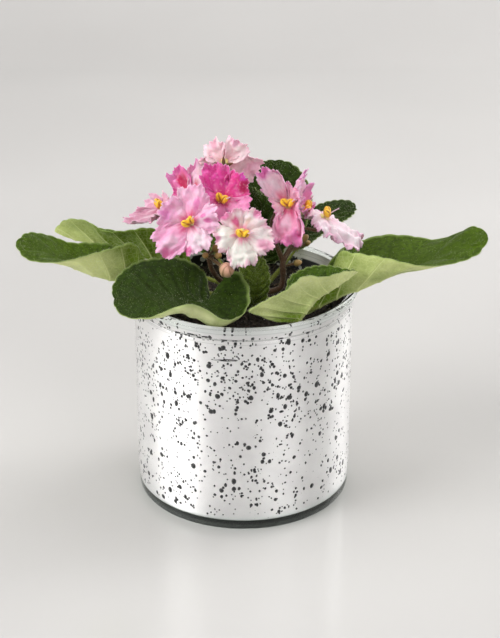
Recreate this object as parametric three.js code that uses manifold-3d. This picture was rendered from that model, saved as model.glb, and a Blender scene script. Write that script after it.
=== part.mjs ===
// A potted african violet: a rosette of cupped, scalloped leaves and two flower stalks with
// ruffled blooms, growing in potting mix inside a straight-sided speckled glass vase.
// Millimetres, +Z up. The origin is the centre of the vase's foot, on the surface it stands on.
// The viewer's side is -Y: "near" is towards -Y and "far" towards +Y.

import * as THREE from 'three';
import { mergeVertices } from 'three/addons/utils/BufferGeometryUtils.js';
import Module from 'manifold-3d';

const wasm = await Module();
wasm.setup();

// Vase
const VASE_RADIUS = 53.5;
const VASE_HEIGHT = 110;
const VASE_WALL = 3.5;
const VASE_BASE = 6;
const FOOT_ROUND = 3.4;
const FOOT_INSET = 0.6;
const RIM_FLARE = 2.7;
const LIP_WIDTH = 4.2;
const LIP_ROUND = 0.7;
const LIP_BEVEL = 1;
const SHOULDER_DROP = 7.5;
const SHOULDER_GROOVE = 0.35;
const INNER_CORNER = 3;
const VASE_SEGMENTS = 44;

// Potting mix and the plant's short stem
const FIT_GAP = 0.3;
const SOIL_TOP = 98.5;
const SOIL_RISE = 0.8;
const CRUMB_LARGE = 0.9;
const CRUMB_SMALL = 0.6;
const SOIL_RINGS = [0, 0.16, 0.4, 0.65, 0.86, 1];
const SOIL_SEGMENTS = 40;
const CROWN_RADIUS = 6.5;
const CROWN_TOP = 107;
const CROWN_BOTTOM = 84;
const CROWN_BEVEL = 1.5;
const CROWN_SEGMENTS = 20;
const CROWN_CENTRE = new THREE.Vector3(4, 0, 0);

// Leaves
const BLADE_THICKNESS = 0.8;
const TEETH_PER_SIDE = 7;
const TOOTH_DEPTH = 0.9;
const BLADE_COLUMNS = 3;
const PETIOLE_RADIUS = 1.7;
const RIB_TIP_RADIUS = 0.8;
const PETIOLE_SIDES = 6;
const PETIOLE_STEPS = 7;
const RIB_REACH = 0.22;
const MIDRIB_EASE = 1.3;
const BELLY_PEAK = 12.2;

// Blooms
const PETALS = 5;
const STEPS_PER_PETAL = 7;
const PETAL_RINGS = [0.36, 0.7, 1];
const PETAL_THICKNESS = 0.65;
const SINUS_DEPTH = 0.18;
const FRILL = 0.04;
const ARCH = 1.5;
const WAVE = 0.8;
const TUBE_RADIUS = 1.9;
const TUBE_LENGTH = 3;
const ANTHER_RADIUS = 1.7;
const ANTHER_SPREAD = 0.72;
const ANTHER_REACH = 3;
const EGG_SHAPE = 1.25;
const PEDICEL_RADIUS = 0.7;
const PEDICEL_SWELL = 1.25;
const PEDICEL_BEND = 4.5;
const LIMB_TAPER = 0.7;
const STALK_RADIUS = 1.5;
const SEPAL_LENGTH = 5.5;
const SEPAL_THICKNESS = 0.7;
const SEPAL_NOTCH = 0.3;

const COLOURS = {
  glass: [0xdfe6e2, 0.08, 0.1],
  soil: [0x2c1f18, 0.95, 0],
  crown: [0x6d7a35, 0.7, 0],
  leaf: [0x3f6420, 0.65, 0],
  stalk: [0x5a3622, 0.6, 0],
  anther: [0xf3b51f, 0.5, 0],
  bud: [0xd9a07a, 0.6, 0],
};

const violet = new THREE.Group();

const vector = (list) => new THREE.Vector3(...list);

/** Adds one named mesh with its own material to the plant. */
function addPiece(name, geometry, finish) {
  const [color, roughness, metalness] = finish;
  const mesh = new THREE.Mesh(geometry, new THREE.MeshStandardMaterial({ color, roughness, metalness }));
  mesh.name = name;
  violet.add(mesh);
}

/** A closed geometry as a solid that can be joined and cut. */
function toSolid(geometry) {
  const bare = geometry.clone();
  bare.deleteAttribute('normal');
  bare.deleteAttribute('uv');
  const merged = mergeVertices(bare, 1e-4);
  const vertProperties = new Float32Array(merged.attributes.position.array);
  const triVerts = new Uint32Array(merged.index.array);
  return new wasm.Manifold(new wasm.Mesh({ numProp: 3, vertProperties, triVerts }));
}

/** A solid as a geometry. */
function toGeometry(solid) {
  const { vertProperties, triVerts } = solid.getMesh();
  const geometry = new THREE.BufferGeometry();
  geometry.setAttribute('position', new THREE.BufferAttribute(Float32Array.from(vertProperties), 3));
  geometry.setIndex(Array.from(triVerts));
  geometry.computeVertexNormals();
  return geometry;
}

/** Joins a list of closed geometries in one. */
function fuse(geometries) {
  let solid = toSolid(geometries[0]);
  for (const geometry of geometries.slice(1)) {
    solid = solid.add(toSolid(geometry));
  }
  return solid;
}

/** A geometry from a list of points and a list of triangles. */
function meshOf(points, triangles) {
  const geometry = new THREE.BufferGeometry();
  geometry.setAttribute('position', new THREE.Float32BufferAttribute(points.flatMap((p) => p.toArray()), 3));
  geometry.setIndex(triangles.flat());
  return geometry;
}

/** Gives an open sheet a thickness: the sheet is set off to both sides, and its border is closed. */
function thicken(points, triangles, thickness) {
  const normals = points.map(() => new THREE.Vector3());
  for (const [a, b, c] of triangles) {
    const ab = points[b].clone().sub(points[a]);
    const ac = points[c].clone().sub(points[a]);
    const face = ab.cross(ac);
    normals[a].add(face);
    normals[b].add(face);
    normals[c].add(face);
  }
  const half = thickness / 2;
  const outwards = normals.map((normal) => normal.normalize());
  const offset = (distance) => points.map((p, i) => p.clone().addScaledVector(outwards[i], distance));
  const count = points.length;
  const all = [...offset(half), ...offset(-half)];
  const faces = [...triangles, ...triangles.map(([a, b, c]) => [a + count, c + count, b + count])];
  const edges = new Map();
  for (const [a, b, c] of triangles) {
    for (const [from, to] of [[a, b], [b, c], [c, a]]) {
      edges.set(`${from},${to}`, [from, to]);
    }
  }
  for (const [from, to] of edges.values()) {
    if (edges.has(`${to},${from}`)) continue;
    faces.push([from, from + count, to + count], [from, to + count, to]);
  }
  return meshOf(all, faces);
}

/** A round rod along a smooth line through the points, its radius easing from the first to the last. */
function taperedRod(points, startRadius, endRadius, sides, steps) {
  const path = new THREE.CatmullRomCurve3(points, false, 'centripetal');
  const frames = path.computeFrenetFrames(steps, false);
  const vertices = [];
  const faces = [];
  for (let i = 0; i <= steps; i += 1) {
    const centre = path.getPointAt(i / steps);
    const radius = startRadius + (endRadius - startRadius) * (i / steps);
    for (let j = 0; j < sides; j += 1) {
      const turn = (j / sides) * Math.PI * 2;
      const rim = centre.clone();
      rim.addScaledVector(frames.normals[i], Math.cos(turn) * radius);
      rim.addScaledVector(frames.binormals[i], Math.sin(turn) * radius);
      vertices.push(rim);
    }
  }
  for (let i = 0; i < steps; i += 1) {
    for (let j = 0; j < sides; j += 1) {
      const a = i * sides + j;
      const b = i * sides + ((j + 1) % sides);
      faces.push([a, b, b + sides], [a, b + sides, a + sides]);
    }
  }
  const first = vertices.push(path.getPointAt(0)) - 1;
  const last = vertices.push(path.getPointAt(1)) - 1;
  const top = steps * sides;
  for (let j = 0; j < sides; j += 1) {
    const next = (j + 1) % sides;
    faces.push([first, next, j], [last, top + j, top + next]);
  }
  return meshOf(vertices, faces);
}

/** The glass vase: a thick foot with a rounded corner, a straight wall and a lip that flares. */
function makeVase() {
  const outer = VASE_RADIUS;
  const inner = outer - VASE_WALL;
  const shoulder = VASE_HEIGHT - SHOULDER_DROP;
  const lip = outer + RIM_FLARE;
  const profile = [[0, 0], [outer - FOOT_ROUND - FOOT_INSET, 0]];
  for (const angle of [-60, -30, 0]) {
    const turn = THREE.MathUtils.degToRad(angle);
    profile.push([outer - FOOT_INSET - FOOT_ROUND * (1 - Math.cos(turn)), FOOT_ROUND * (1 + Math.sin(turn))]);
  }
  profile.push(
    [outer, VASE_HEIGHT * 0.45],
    [outer, shoulder - 2 * SHOULDER_GROOVE],
    [outer - SHOULDER_GROOVE, shoulder],
    [outer, shoulder + 2 * SHOULDER_GROOVE],
    [lip - LIP_ROUND, VASE_HEIGHT - 2 * LIP_BEVEL],
    [lip, VASE_HEIGHT - LIP_BEVEL],
    [lip - LIP_ROUND, VASE_HEIGHT],
    [lip - LIP_WIDTH, VASE_HEIGHT],
    [lip - LIP_WIDTH - LIP_BEVEL, VASE_HEIGHT - LIP_BEVEL],
    [inner, shoulder],
    [inner, VASE_BASE + INNER_CORNER],
    [inner - INNER_CORNER, VASE_BASE],
    [0, VASE_BASE],
  );
  const points = profile.map(([radius, height]) => new THREE.Vector2(radius, height));
  const vase = new THREE.LatheGeometry(points, VASE_SEGMENTS);
  vase.rotateX(Math.PI / 2);
  return vase;
}

/** The potting mix: it fills the glass, has a crumbly top and a plain hole where the stem stands. */
function makeSoil() {
  const outer = VASE_RADIUS - VASE_WALL - FIT_GAP;
  const hole = CROWN_RADIUS + FIT_GAP;
  const points = [];
  const faces = [];
  const crumb = (turn, share) => {
    const lumps = CRUMB_LARGE * Math.sin(5 * turn + 7 * share) + CRUMB_SMALL * Math.sin(11 * turn - 9 * share + 1);
    return lumps * share * (1.25 - share);
  };
  const ringAt = (pointAt) => {
    for (let j = 0; j < SOIL_SEGMENTS; j += 1) {
      points.push(pointAt((j / SOIL_SEGMENTS) * Math.PI * 2));
    }
  };
  const place = (turn, share, z) => {
    const centre = CROWN_CENTRE.clone().multiplyScalar(1 - share);
    const radius = hole + (outer - hole) * share;
    return new THREE.Vector3(centre.x + radius * Math.cos(turn), radius * Math.sin(turn), z);
  };
  const holeFloor = CROWN_BOTTOM - FIT_GAP;
  ringAt((turn) => place(turn, 0, holeFloor));
  for (const share of SOIL_RINGS) {
    const level = SOIL_TOP + SOIL_RISE * (1 - share);
    ringAt((turn) => place(turn, share, level + crumb(turn, share)));
  }
  const corner = INNER_CORNER + FIT_GAP;
  ringAt((turn) => place(turn, 1, VASE_BASE + corner));
  ringAt((turn) => place(turn, 1, 0).multiplyScalar((outer - corner) / outer).setZ(VASE_BASE + FIT_GAP));
  const loops = points.length / SOIL_SEGMENTS;
  for (let i = 0; i < loops - 1; i += 1) {
    for (let j = 0; j < SOIL_SEGMENTS; j += 1) {
      const a = i * SOIL_SEGMENTS + j;
      const b = i * SOIL_SEGMENTS + ((j + 1) % SOIL_SEGMENTS);
      faces.push([a, b + SOIL_SEGMENTS, b], [a, a + SOIL_SEGMENTS, b + SOIL_SEGMENTS]);
    }
  }
  const holeCentre = points.push(new THREE.Vector3(CROWN_CENTRE.x, 0, holeFloor)) - 1;
  const floorCentre = points.push(new THREE.Vector3(0, 0, VASE_BASE + FIT_GAP)) - 1;
  const lowest = (loops - 1) * SOIL_SEGMENTS;
  for (let j = 0; j < SOIL_SEGMENTS; j += 1) {
    const next = (j + 1) % SOIL_SEGMENTS;
    faces.push([holeCentre, j, next], [floorCentre, lowest + next, lowest + j]);
  }
  return meshOf(points, faces);
}

/** The short thick stem that all leaf stalks grow from, or the space that it takes with a margin. */
function makeCrown(margin) {
  const radius = CROWN_RADIUS + margin;
  const low = CROWN_BOTTOM - margin;
  const high = CROWN_TOP + margin;
  const profile = [
    [0, low],
    [radius - CROWN_BEVEL, low],
    [radius, low + CROWN_BEVEL],
    [radius, high - 4 * CROWN_BEVEL],
    [radius - CROWN_BEVEL, high - 1.5 * CROWN_BEVEL],
    [radius - 2.6 * CROWN_BEVEL, high],
    [0, high],
  ];
  const crown = new THREE.LatheGeometry(profile.map(([r, z]) => new THREE.Vector2(r, z)), CROWN_SEGMENTS);
  crown.rotateX(Math.PI / 2);
  crown.translate(CROWN_CENTRE.x, CROWN_CENTRE.y, 0);
  return crown;
}

// Leaves. Each blade is a sheet between its midrib and its two margins. All three lines run from
// the blade's base to its tip; the stalk runs from the plant's stem to the base. "soft" is how
// smoothly the blade bends over its midrib: 0 is a sharp fold and 1 a round trough. "belly" is how
// far the near and the far half sag between midrib and margin.
const LEAVES = [
  {
    name: 'leaf_left_spoon',
    stalk: [[4, 0, 101], [-12, -2, 103.5], [-32, -4, 108.5]],
    midrib: [
      [-46, -4, 111.6], [-54, -4.5, 112.6], [-64, -6.6, 114.6], [-78, -8.6, 119.8],
      [-93, -9.4, 128.6], [-108.8, -10, 134],
    ],
    near: [
      [-46, -7.4, 118.4], [-48.4, -9, 127], [-53, -11, 134.2], [-61, -15.6, 134], [-70, -19.5, 133],
      [-79.4, -23, 131.6], [-90, -24.5, 130.6], [-101.8, -21, 131],
    ],
    far: [
      [-49, 4, 113.4], [-56, 9, 118], [-64.5, 12, 123.6], [-75, 13, 124.5], [-84.8, 12, 125.2],
      [-93.8, 8, 130.4], [-103.8, 0, 135.2],
    ],
    soft: 0.6,
  },
  {
    name: 'leaf_back_left',
    stalk: [[4, 0, 104], [-6, 5, 105.2], [-16, 8.4, 107.2]],
    midrib: [
      [-26, 11.4, 109.8], [-35, 14.6, 112.4], [-46, 18, 114.6], [-58, 22, 116.4], [-74, 26, 119],
      [-88, 27, 122.6], [-93.9, 26, 126],
    ],
    near: [
      [-26, 8, 117], [-30, 7, 125], [-37, 7, 130.4], [-45, 8, 134.3], [-57.5, 12, 131.4],
      [-68, 15, 130.2], [-77, 17, 134.6], [-87, 20, 134],
    ],
    far: [
      [-28, 20, 112.8], [-34, 28, 115.4], [-52, 37, 118.6], [-64, 41, 119.6], [-76, 40, 121.8],
      [-87, 34, 124.4],
    ],
    soft: 0.5,
  },
  {
    name: 'leaf_front_left_round',
    stalk: [[4, 0, 102.5], [-2, -10, 103], [-9, -20, 105.5]],
    midrib: [
      [-14.6, -27, 109.6], [-24, -30, 113.4], [-34.5, -33, 116.4], [-48.5, -34, 116.8],
      [-57, -34, 116.2], [-60.8, -33, 115.6],
    ],
    near: [
      [-10.6, -19.4, 116.4], [-8.2, -18, 121.4], [-2.2, -20, 122.8], [1.5, -24, 118.6],
      [2.4, -31, 114.6], [0.4, -39, 112.1], [-4.8, -45, 110.9], [-10.4, -48.4, 112.4],
      [-17.7, -53, 119.5], [-25, -57.5, 124], [-33, -58, 122], [-42.8, -56, 117],
      [-54.6, -49, 114.1], [-59.4, -42, 115.4],
    ],
    far: [
      [-16.6, -20, 114], [-18.5, -13, 119.6], [-24.5, -10, 123.6], [-32, -9.5, 126],
      [-41, -11, 126.4], [-49.8, -13, 125.6], [-58, -20, 122.6], [-61.6, -27, 118.2],
    ],
    soft: 0.9,
    belly: [5.5, 0],
  },
  {
    name: 'leaf_front_right_folded',
    stalk: [[4, 0, 103], [9, -12, 102.6], [16, -26, 102.8]],
    midrib: [[24.6, -38, 106.2], [29, -38, 111.4], [34.2, -36, 117], [43, -32, 121], [54, -27, 126.8]],
    near: [
      [16.2, -40, 107], [7.4, -41.5, 111], [3.1, -42, 113.1], [10.7, -41.5, 118.4], [20, -40.5, 123],
      [28.6, -38.8, 129.2], [38, -36.4, 128], [48, -31.6, 128.6],
    ],
    far: [
      [21, -30, 111], [20.6, -27, 116.6], [22.4, -25, 122.6], [29.6, -22, 125.8], [38.6, -22, 127.3],
      [48, -25, 126.8],
    ],
    soft: 0.35,
  },
  {
    name: 'leaf_right_spoon',
    stalk: [[4, 0, 101.5], [15, -5, 101.5], [24, -14, 102.2]],
    midrib: [
      [30, -24, 104.6], [39, -22.5, 109], [48.6, -20, 112.8], [56, -18, 114.4], [68.4, -14, 118.2],
      [85.6, -11, 123.6], [102, -8, 130], [117.8, -5, 135.6],
    ],
    near: [
      [36, -20, 113], [42.6, -16, 123.6], [46.3, -17, 132], [53, -20, 132.6], [60, -22.5, 132.6],
      [67, -26, 132.8], [83.6, -29, 130.4], [98, -23, 129], [112, -13, 130.4],
    ],
    far: [
      [32, -12, 108], [40, 4, 114], [48, 14, 120.2], [56, 18, 122.6], [69, 18, 126.4],
      [82, 15, 127.2], [94, 10.5, 127.2], [103, 7, 131.4], [112, 3, 137],
    ],
    soft: 0.6,
  },
  {
    name: 'leaf_back_tall',
    stalk: [[4, 0, 105], [6, 8, 106.8], [8.5, 15, 112]],
    midrib: [[11, 21, 119.4], [14, 32, 131], [15.6, 42, 143.6], [16, 50, 154.4]],
    near: [[1, 19, 122.6], [-4.4, 26, 133], [-2.6, 37, 146.4], [4.6, 46, 153.4]],
    far: [[21, 18, 121.4], [30.6, 26, 129], [33.6, 36, 139.4], [29, 45, 149.4], [22.6, 49, 153.4]],
    soft: 1,
  },
  {
    name: 'leaf_back_right',
    stalk: [[4, 0, 102.4], [12, 7, 106], [20, 14, 112.6]],
    midrib: [[26, 19.5, 118.4], [34.2, 28.4, 124.6], [44.6, 36.6, 129], [57, 42.6, 132.2]],
    near: [[30, 16.5, 121], [36, 22, 123.6], [45.4, 30, 127.2], [54, 37.4, 129.6]],
    far: [[24, 28, 121], [28.6, 38, 127.6], [36, 44, 131.4], [46, 47, 133.4], [54, 46.4, 133.4]],
    soft: 0.8,
  },
  {
    name: 'leaf_centre_young',
    stalk: [[4, 0, 105.8], [3.6, -7, 106.4], [3.6, -13, 105]],
    midrib: [[4.4, -18.4, 104], [5.4, -19.6, 109.4], [6, -17, 116], [5.4, -12, 122.4], [5, -8, 127]],
    near: [[0.6, -20, 105.6], [-1.6, -20.2, 110.6], [-2.4, -17, 117], [0.6, -11.4, 125]],
    far: [[8.6, -20.6, 107], [11.3, -18.4, 112.6], [12, -14, 118.6], [9.6, -9.4, 124.8]],
    soft: 0.8,
  },
  {
    name: 'leaf_centre_upright',
    stalk: [[2.6, 0.4, 107], [2.8, 2.4, 110.4], [6, 5.8, 113.6]],
    midrib: [[9.4, 8.4, 115.4], [9.8, 12, 125], [8, 16, 137.6], [3.4, 20, 151.6]],
    near: [[3, 8.4, 118], [-2, 11.4, 128], [-4.4, 15, 139.4], [-2.4, 18.4, 148.4]],
    far: [[16, 7.6, 117.6], [20.4, 10.4, 125.4], [19.4, 14.4, 134.4], [12.4, 18.8, 144.6]],
    soft: 0.8,
  },
  {
    name: 'leaf_back_low_left',
    stalk: [[4, 0, 101], [-3, 10, 103], [-9, 20, 108]],
    midrib: [[-14, 28, 112.4], [-20, 38, 117.4], [-26, 50, 122], [-31, 62, 124.6], [-34, 70, 124]],
    near: [[-20, 26, 114.4], [-32, 36, 120.6], [-40.4, 48, 123.6], [-41.6, 60, 124.4]],
    far: [[-10, 32, 115.6], [-6, 44, 121.6], [-10, 58, 125.6], [-20, 68, 126]],
    soft: 0.8,
  },
  {
    name: 'leaf_back_low_right',
    stalk: [[4, 0, 101.4], [8, 12, 102.6], [9.4, 24, 106.4]],
    midrib: [[10.6, 34, 110.6], [12.6, 46, 114.6], [14, 58, 117.6], [15, 69, 118.6]],
    near: [[4, 36, 114], [-2, 48, 118.6], [1, 61, 120.6], [8, 69, 120]],
    far: [[15.6, 32, 112.4], [22, 42, 115.8], [25, 54, 118.4], [22, 65, 119.2]],
    soft: 0.8,
  },
];

/** A smooth line through the points, from start to end. */
const lineThrough = (points) => new THREE.CatmullRomCurve3(points, false, 'centripetal');

/** A leaf: its scalloped blade, with the stalk that runs on as a short tapering rib in the blade. */
function makeLeaf(leaf) {
  const midrib = lineThrough(leaf.midrib.map(vector));
  const base = vector(leaf.midrib[0]);
  const tip = vector(leaf.midrib.at(-1));
  const margins = [leaf.near, leaf.far].map((list) => lineThrough([base, ...list.map(vector), tip]));
  const rows = TEETH_PER_SIDE * 2;
  const points = [];
  const faces = [];
  for (let i = 0; i <= rows; i += 1) {
    const along = i / rows;
    const middle = midrib.getPointAt(along ** MIDRIB_EASE);
    const reach = margins.map((line) => line.getPointAt(along).sub(middle));
    const across = reach[1].clone().sub(reach[0]).multiplyScalar(0.5);
    const tooth = i % 2 === 1 ? TOOTH_DEPTH : 0;
    for (let j = -BLADE_COLUMNS; j <= BLADE_COLUMNS; j += 1) {
      const side = j < 0 ? 0 : 1;
      const share = Math.abs(j) / BLADE_COLUMNS;
      const edge = reach[side].clone();
      if (share === 1 && edge.length() > 1) edge.setLength(edge.length() + tooth);
      const bend = across.clone().multiplyScalar(side === 0 ? -1 : 1).sub(edge).multiplyScalar(leaf.soft);
      const point = middle.clone().addScaledVector(edge, share).addScaledVector(bend, share - share * share);
      point.z -= BELLY_PEAK * share ** 4 * (1 - share) * Math.sin(Math.PI * along) ** 2 * (leaf.belly?.[side] ?? 0);
      points.push(point);
    }
  }
  const columns = 2 * BLADE_COLUMNS + 1;
  const index = points.map((point, i) => points.findIndex((other) => other.distanceTo(point) < 1e-3));
  for (let i = 0; i < rows; i += 1) {
    for (let j = 0; j < columns - 1; j += 1) {
      const a = index[i * columns + j];
      const b = index[i * columns + j + 1];
      const c = index[(i + 1) * columns + j + 1];
      const d = index[(i + 1) * columns + j];
      const split = j < BLADE_COLUMNS ? [[a, b, c], [a, c, d]] : [[a, b, d], [b, c, d]];
      for (const face of split) {
        if (new Set(face).size === 3) faces.push(face);
      }
    }
  }
  const used = [...new Set(faces.flat())];
  const renumber = new Map(used.map((old, i) => [old, i]));
  const bladeFaces = faces.map((face) => face.map((i) => renumber.get(i)));
  const blade = thicken(used.map((i) => points[i]), bladeFaces, BLADE_THICKNESS);
  const ribLine = [...leaf.stalk.map(vector), base, midrib.getPointAt(RIB_REACH)];
  const rib = taperedRod(ribLine, PETIOLE_RADIUS, RIB_TIP_RADIUS, PETIOLE_SIDES, PETIOLE_STEPS);
  return toSolid(blade).add(toSolid(rib));
}

// Blooms. "at" is the throat, "facing" where the bloom looks, "roll" turns it about that line in
// degrees. Each petal has a length and a tilt: degrees forward of flat, so a cup, or back. A third
// number is how deep the notches beside that petal are, where they differ from the usual ones.
// Petals go clockwise from the top as seen from the front. "stalk" is the flower stalk that bears
// it, and "limb" the limb of that stalk, 0 or 1, whose end its stalklet starts from.
const BLOOMS = [
  {
    at: [-26, -13, 146.9], facing: [-0.2, -0.86, 0.46], roll: -31, stalk: 'left', colour: 0xe58fbe,
    petals: [[18, 14], [14.5, 6], [15.5, 4, 0.26], [20, 6], [15.5, 22]],
  },
  {
    at: [-10, -3, 153.6], facing: [-0.04, -0.8, 0.6], roll: 15, stalk: 'left', colour: 0xdb4d98,
    petals: [[17, 34], [15.5, 22], [12, 8], [12.5, 14], [18, 22]],
  },
  {
    at: [-0.6, -22.4, 144.6], facing: [0.08, -0.93, 0.36], roll: 4, stalk: 'left', colour: 0xf3dfe0,
    petals: [[12.8, 12], [15.6, 6], [16.2, 4], [13.4, 8], [12.2, 14]],
  },
  {
    at: [-9, 14.4, 166.4], facing: [0.1, 0.97, 0.14], roll: 0, stalk: 'left', colour: 0xf0c3d6,
    petals: [[12, 16], [13, 10], [12, 10], [18, 10], [13, 14]],
  },
  {
    at: [-27, 11, 150], facing: [-0.4, -0.5, 0.77], roll: -14, stalk: 'left', colour: 0xe06aa8,
    petals: [[18.5, 36], [11, 20], [8, 10], [7, 34], [15, 38]],
  },
  {
    at: [-38.8, 6.4, 146.2], facing: [-0.7, -0.2, 0.68], roll: 0, stalk: 'left', colour: 0xe9a9c6,
    petals: [[7, 25], [11, 20], [18.6, 31], [12, 22], [7, 25]],
  },
  {
    at: [21.4, -8, 153.6], facing: [-0.16, -0.84, 0.52], roll: -8, stalk: 'right', colour: 0xec9cc4,
    petals: [[10, 40], [10, 52], [21, 6], [9, 40], [23, 44, 0.45]],
  },
  {
    at: [29.4, 6.6, 145], facing: [0.6, -0.44, 0.67], roll: -42, stalk: 'right', limb: 1, colour: 0xe87fb4,
    petals: [[20, 42, 0.25], [7, 30], [6, 20], [7, 34], [10, 44]],
  },
  {
    at: [38.6, -3.6, 145], facing: [0.45, -0.1, 0.88], roll: 0, stalk: 'right', limb: 1, colour: 0xf3cddc,
    petals: [[8, -12], [15, -24], [22.5, -8, 0.1], [11.5, -14], [6.5, -16]],
  },
];

/** The three directions of a bloom: to its own right, to its own top, and where it faces. */
function bloomAxes(bloom) {
  const front = vector(bloom.facing).normalize();
  const upright = new THREE.Vector3(0, 0, 1);
  const top = upright.addScaledVector(front, -upright.dot(front)).normalize();
  top.applyAxisAngle(front, -THREE.MathUtils.degToRad(bloom.roll));
  const right = top.clone().cross(front);
  return { front, top, right };
}

/** A point in a bloom's own measures (right, top, front) in the plant's frame. */
function inBloom(bloom, axes, right, top, front) {
  const point = vector(bloom.at);
  return point.addScaledVector(axes.right, right).addScaledVector(axes.top, top).addScaledVector(axes.front, front);
}

/** The ruffled petals of a bloom in one sheet, with its short tube behind. */
function makeCorolla(bloom, number) {
  const axes = bloomAxes(bloom);
  const around = PETALS * STEPS_PER_PETAL;
  const points = [inBloom(bloom, axes, 0, 0, 0)];
  for (const ring of PETAL_RINGS) {
    for (let j = 0; j < around; j += 1) {
      const petalTurn = j / STEPS_PER_PETAL;
      const nearest = Math.round(petalTurn);
      const offCentre = (petalTurn - nearest) * 2;
      const own = bloom.petals[nearest % PETALS];
      const neighbour = bloom.petals[(nearest + (offCentre < 0 ? PETALS - 1 : 1)) % PETALS];
      const share = 0.5 * Math.abs(offCentre) ** 3;
      const length = own[0] * (1 - share) + neighbour[0] * share;
      const tilt = THREE.MathUtils.degToRad(own[1] * (1 - share) + neighbour[1] * share);
      const turn = ((petalTurn + 0.5) / PETALS) * Math.PI * 2;
      const notch = (own[2] ?? SINUS_DEPTH) * (1 - share) + (neighbour[2] ?? SINUS_DEPTH) * share;
      const outline = 1 - notch * offCentre ** 4 + FRILL * Math.sin(9 * turn + number);
      const reach = length * outline * ring;
      const waves = Math.sin(7 * turn + 2 * number) + 0.6 * Math.sin(12 * turn - number);
      const ruffle = WAVE * ring ** 3 * waves - ARCH * ring * offCentre ** 2;
      const spread = reach * Math.cos(tilt * ring);
      const rise = reach * Math.sin(tilt * ring) + ruffle;
      points.push(inBloom(bloom, axes, spread * Math.sin(turn), spread * Math.cos(turn), rise));
    }
  }
  const faces = [];
  for (let j = 0; j < around; j += 1) {
    const next = (j + 1) % around;
    faces.push([0, 1 + next, 1 + j]);
    for (let i = 0; i < PETAL_RINGS.length - 1; i += 1) {
      const a = 1 + i * around + j;
      const b = 1 + i * around + next;
      faces.push([a, b, b + around], [a, b + around, a + around]);
    }
  }
  const sheet = thicken(points, faces, PETAL_THICKNESS);
  const tube = taperedRod(
    [inBloom(bloom, axes, 0, 0, -TUBE_LENGTH), inBloom(bloom, axes, 0, 0, 0.1)],
    TUBE_RADIUS * 0.8, TUBE_RADIUS, PETIOLE_SIDES, 1,
  );
  return toSolid(sheet).add(toSolid(tube));
}

/** The pair of pollen sacs in a bloom's throat, on their short filament. */
function makeAnthers(bloom) {
  const axes = bloomAxes(bloom);
  const sacs = [-1, 1].map((side) => {
    const sac = new THREE.IcosahedronGeometry(ANTHER_RADIUS, 0);
    const place = inBloom(bloom, axes, side * ANTHER_RADIUS * ANTHER_SPREAD, 0, ANTHER_REACH);
    sac.scale(1, 1, EGG_SHAPE);
    sac.translate(place.x, place.y, place.z);
    return sac;
  });
  const foot = inBloom(bloom, axes, 0, 0, PETAL_THICKNESS / 2 + FIT_GAP);
  const head = inBloom(bloom, axes, 0, 0, ANTHER_REACH);
  const filament = taperedRod([foot, head], PEDICEL_RADIUS, PEDICEL_RADIUS * PEDICEL_SWELL, 5, 1);
  return fuse([...sacs, filament]);
}

/** The five pointed sepals in one star that cups the end of a stalklet. */
function makeCalyx(centre, axis, top, length) {
  const right = top.clone().cross(axis);
  const points = [centre.clone().addScaledVector(axis, -0.8)];
  const faces = [];
  const corners = PETALS * 2;
  for (let k = 0; k < corners; k += 1) {
    const turn = (k / corners) * Math.PI * 2;
    const reach = k % 2 === 0 ? length : length * SEPAL_NOTCH;
    const point = centre.clone().addScaledVector(axis, k % 2 === 0 ? 0.5 : -0.2);
    point.addScaledVector(right, reach * Math.sin(turn)).addScaledVector(top, reach * Math.cos(turn));
    points.push(point);
    faces.push([0, 1 + ((k + 1) % corners), 1 + k]);
  }
  return thicken(points, faces, SEPAL_THICKNESS);
}

/** A bloom's stalklet from its branching place, with the five sepals that hold the corolla's tube. */
function makePedicel(bloom, start) {
  const axes = bloomAxes(bloom);
  const cupDepth = -TUBE_LENGTH - FIT_GAP;
  const end = inBloom(bloom, axes, 0, 0, cupDepth);
  const behind = inBloom(bloom, axes, 0, 0, cupDepth - PEDICEL_BEND);
  const middle = start.clone().lerp(behind, 0.55);
  const parts = [taperedRod([start, middle, behind, end], PEDICEL_RADIUS, PEDICEL_RADIUS * PEDICEL_SWELL, 4, 4)];
  parts.push(makeCalyx(inBloom(bloom, axes, 0, 0, cupDepth - 0.6), axes.front, axes.top, SEPAL_LENGTH));
  return parts;
}

// Flower stalks: each limb's line, at whose ends the stalklets start, and the closed buds.
const STALKS = {
  left: {
    name: 'flower_stalk_left',
    limbs: [[[4, 0, 105], [-3, -2, 107], [-10, -6, 112], [-15, -9, 120], [-17, -8, 130], [-17.5, -4, 137]]],
    buds: [
      { from: [-17, -8.5, 127], at: [-12.8, -13, 133], radius: 2.2 },
      { from: [-17, -8.5, 127], at: [-12, -16, 130.4], radius: 1.7 },
      { from: [-17, -8.5, 127], at: [-18, -15, 130], radius: 1.6 },
    ],
  },
  right: {
    name: 'flower_stalk_right',
    limbs: [
      [
        [4, 0, 105.2], [11, -3, 105.6], [18, -3.4, 108.2], [19.4, -2, 114], [19, -0.6, 121],
        [15.6, -1, 131], [14, 0.4, 141], [17, 2, 147],
      ],
      [[19.4, -2, 114], [19.2, -0.8, 120], [23.6, 2, 128], [28, 5, 136]],
    ],
    buds: [
      { from: [22, 1, 125], at: [29.4, 4.6, 130.4], radius: 1.9 },
      { from: [19.3, -0.5, 118], at: [26, 0, 119.6], radius: 1.7 },
      { from: [22, 1, 125], at: [31, 8, 126.6], radius: 1.5 },
    ],
  },
};

const OPENING_BUD = { stalk: 'left', from: [-17, -8.5, 127], at: [-7.8, -25, 126.8], radius: 3.6 };

/** A round bud that is a little longer than wide. */
function makeBud(place, radius) {
  const bud = new THREE.SphereGeometry(radius, 6, 5);
  bud.scale(1, 1, EGG_SHAPE);
  bud.translate(place.x, place.y, place.z);
  return bud;
}

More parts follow.
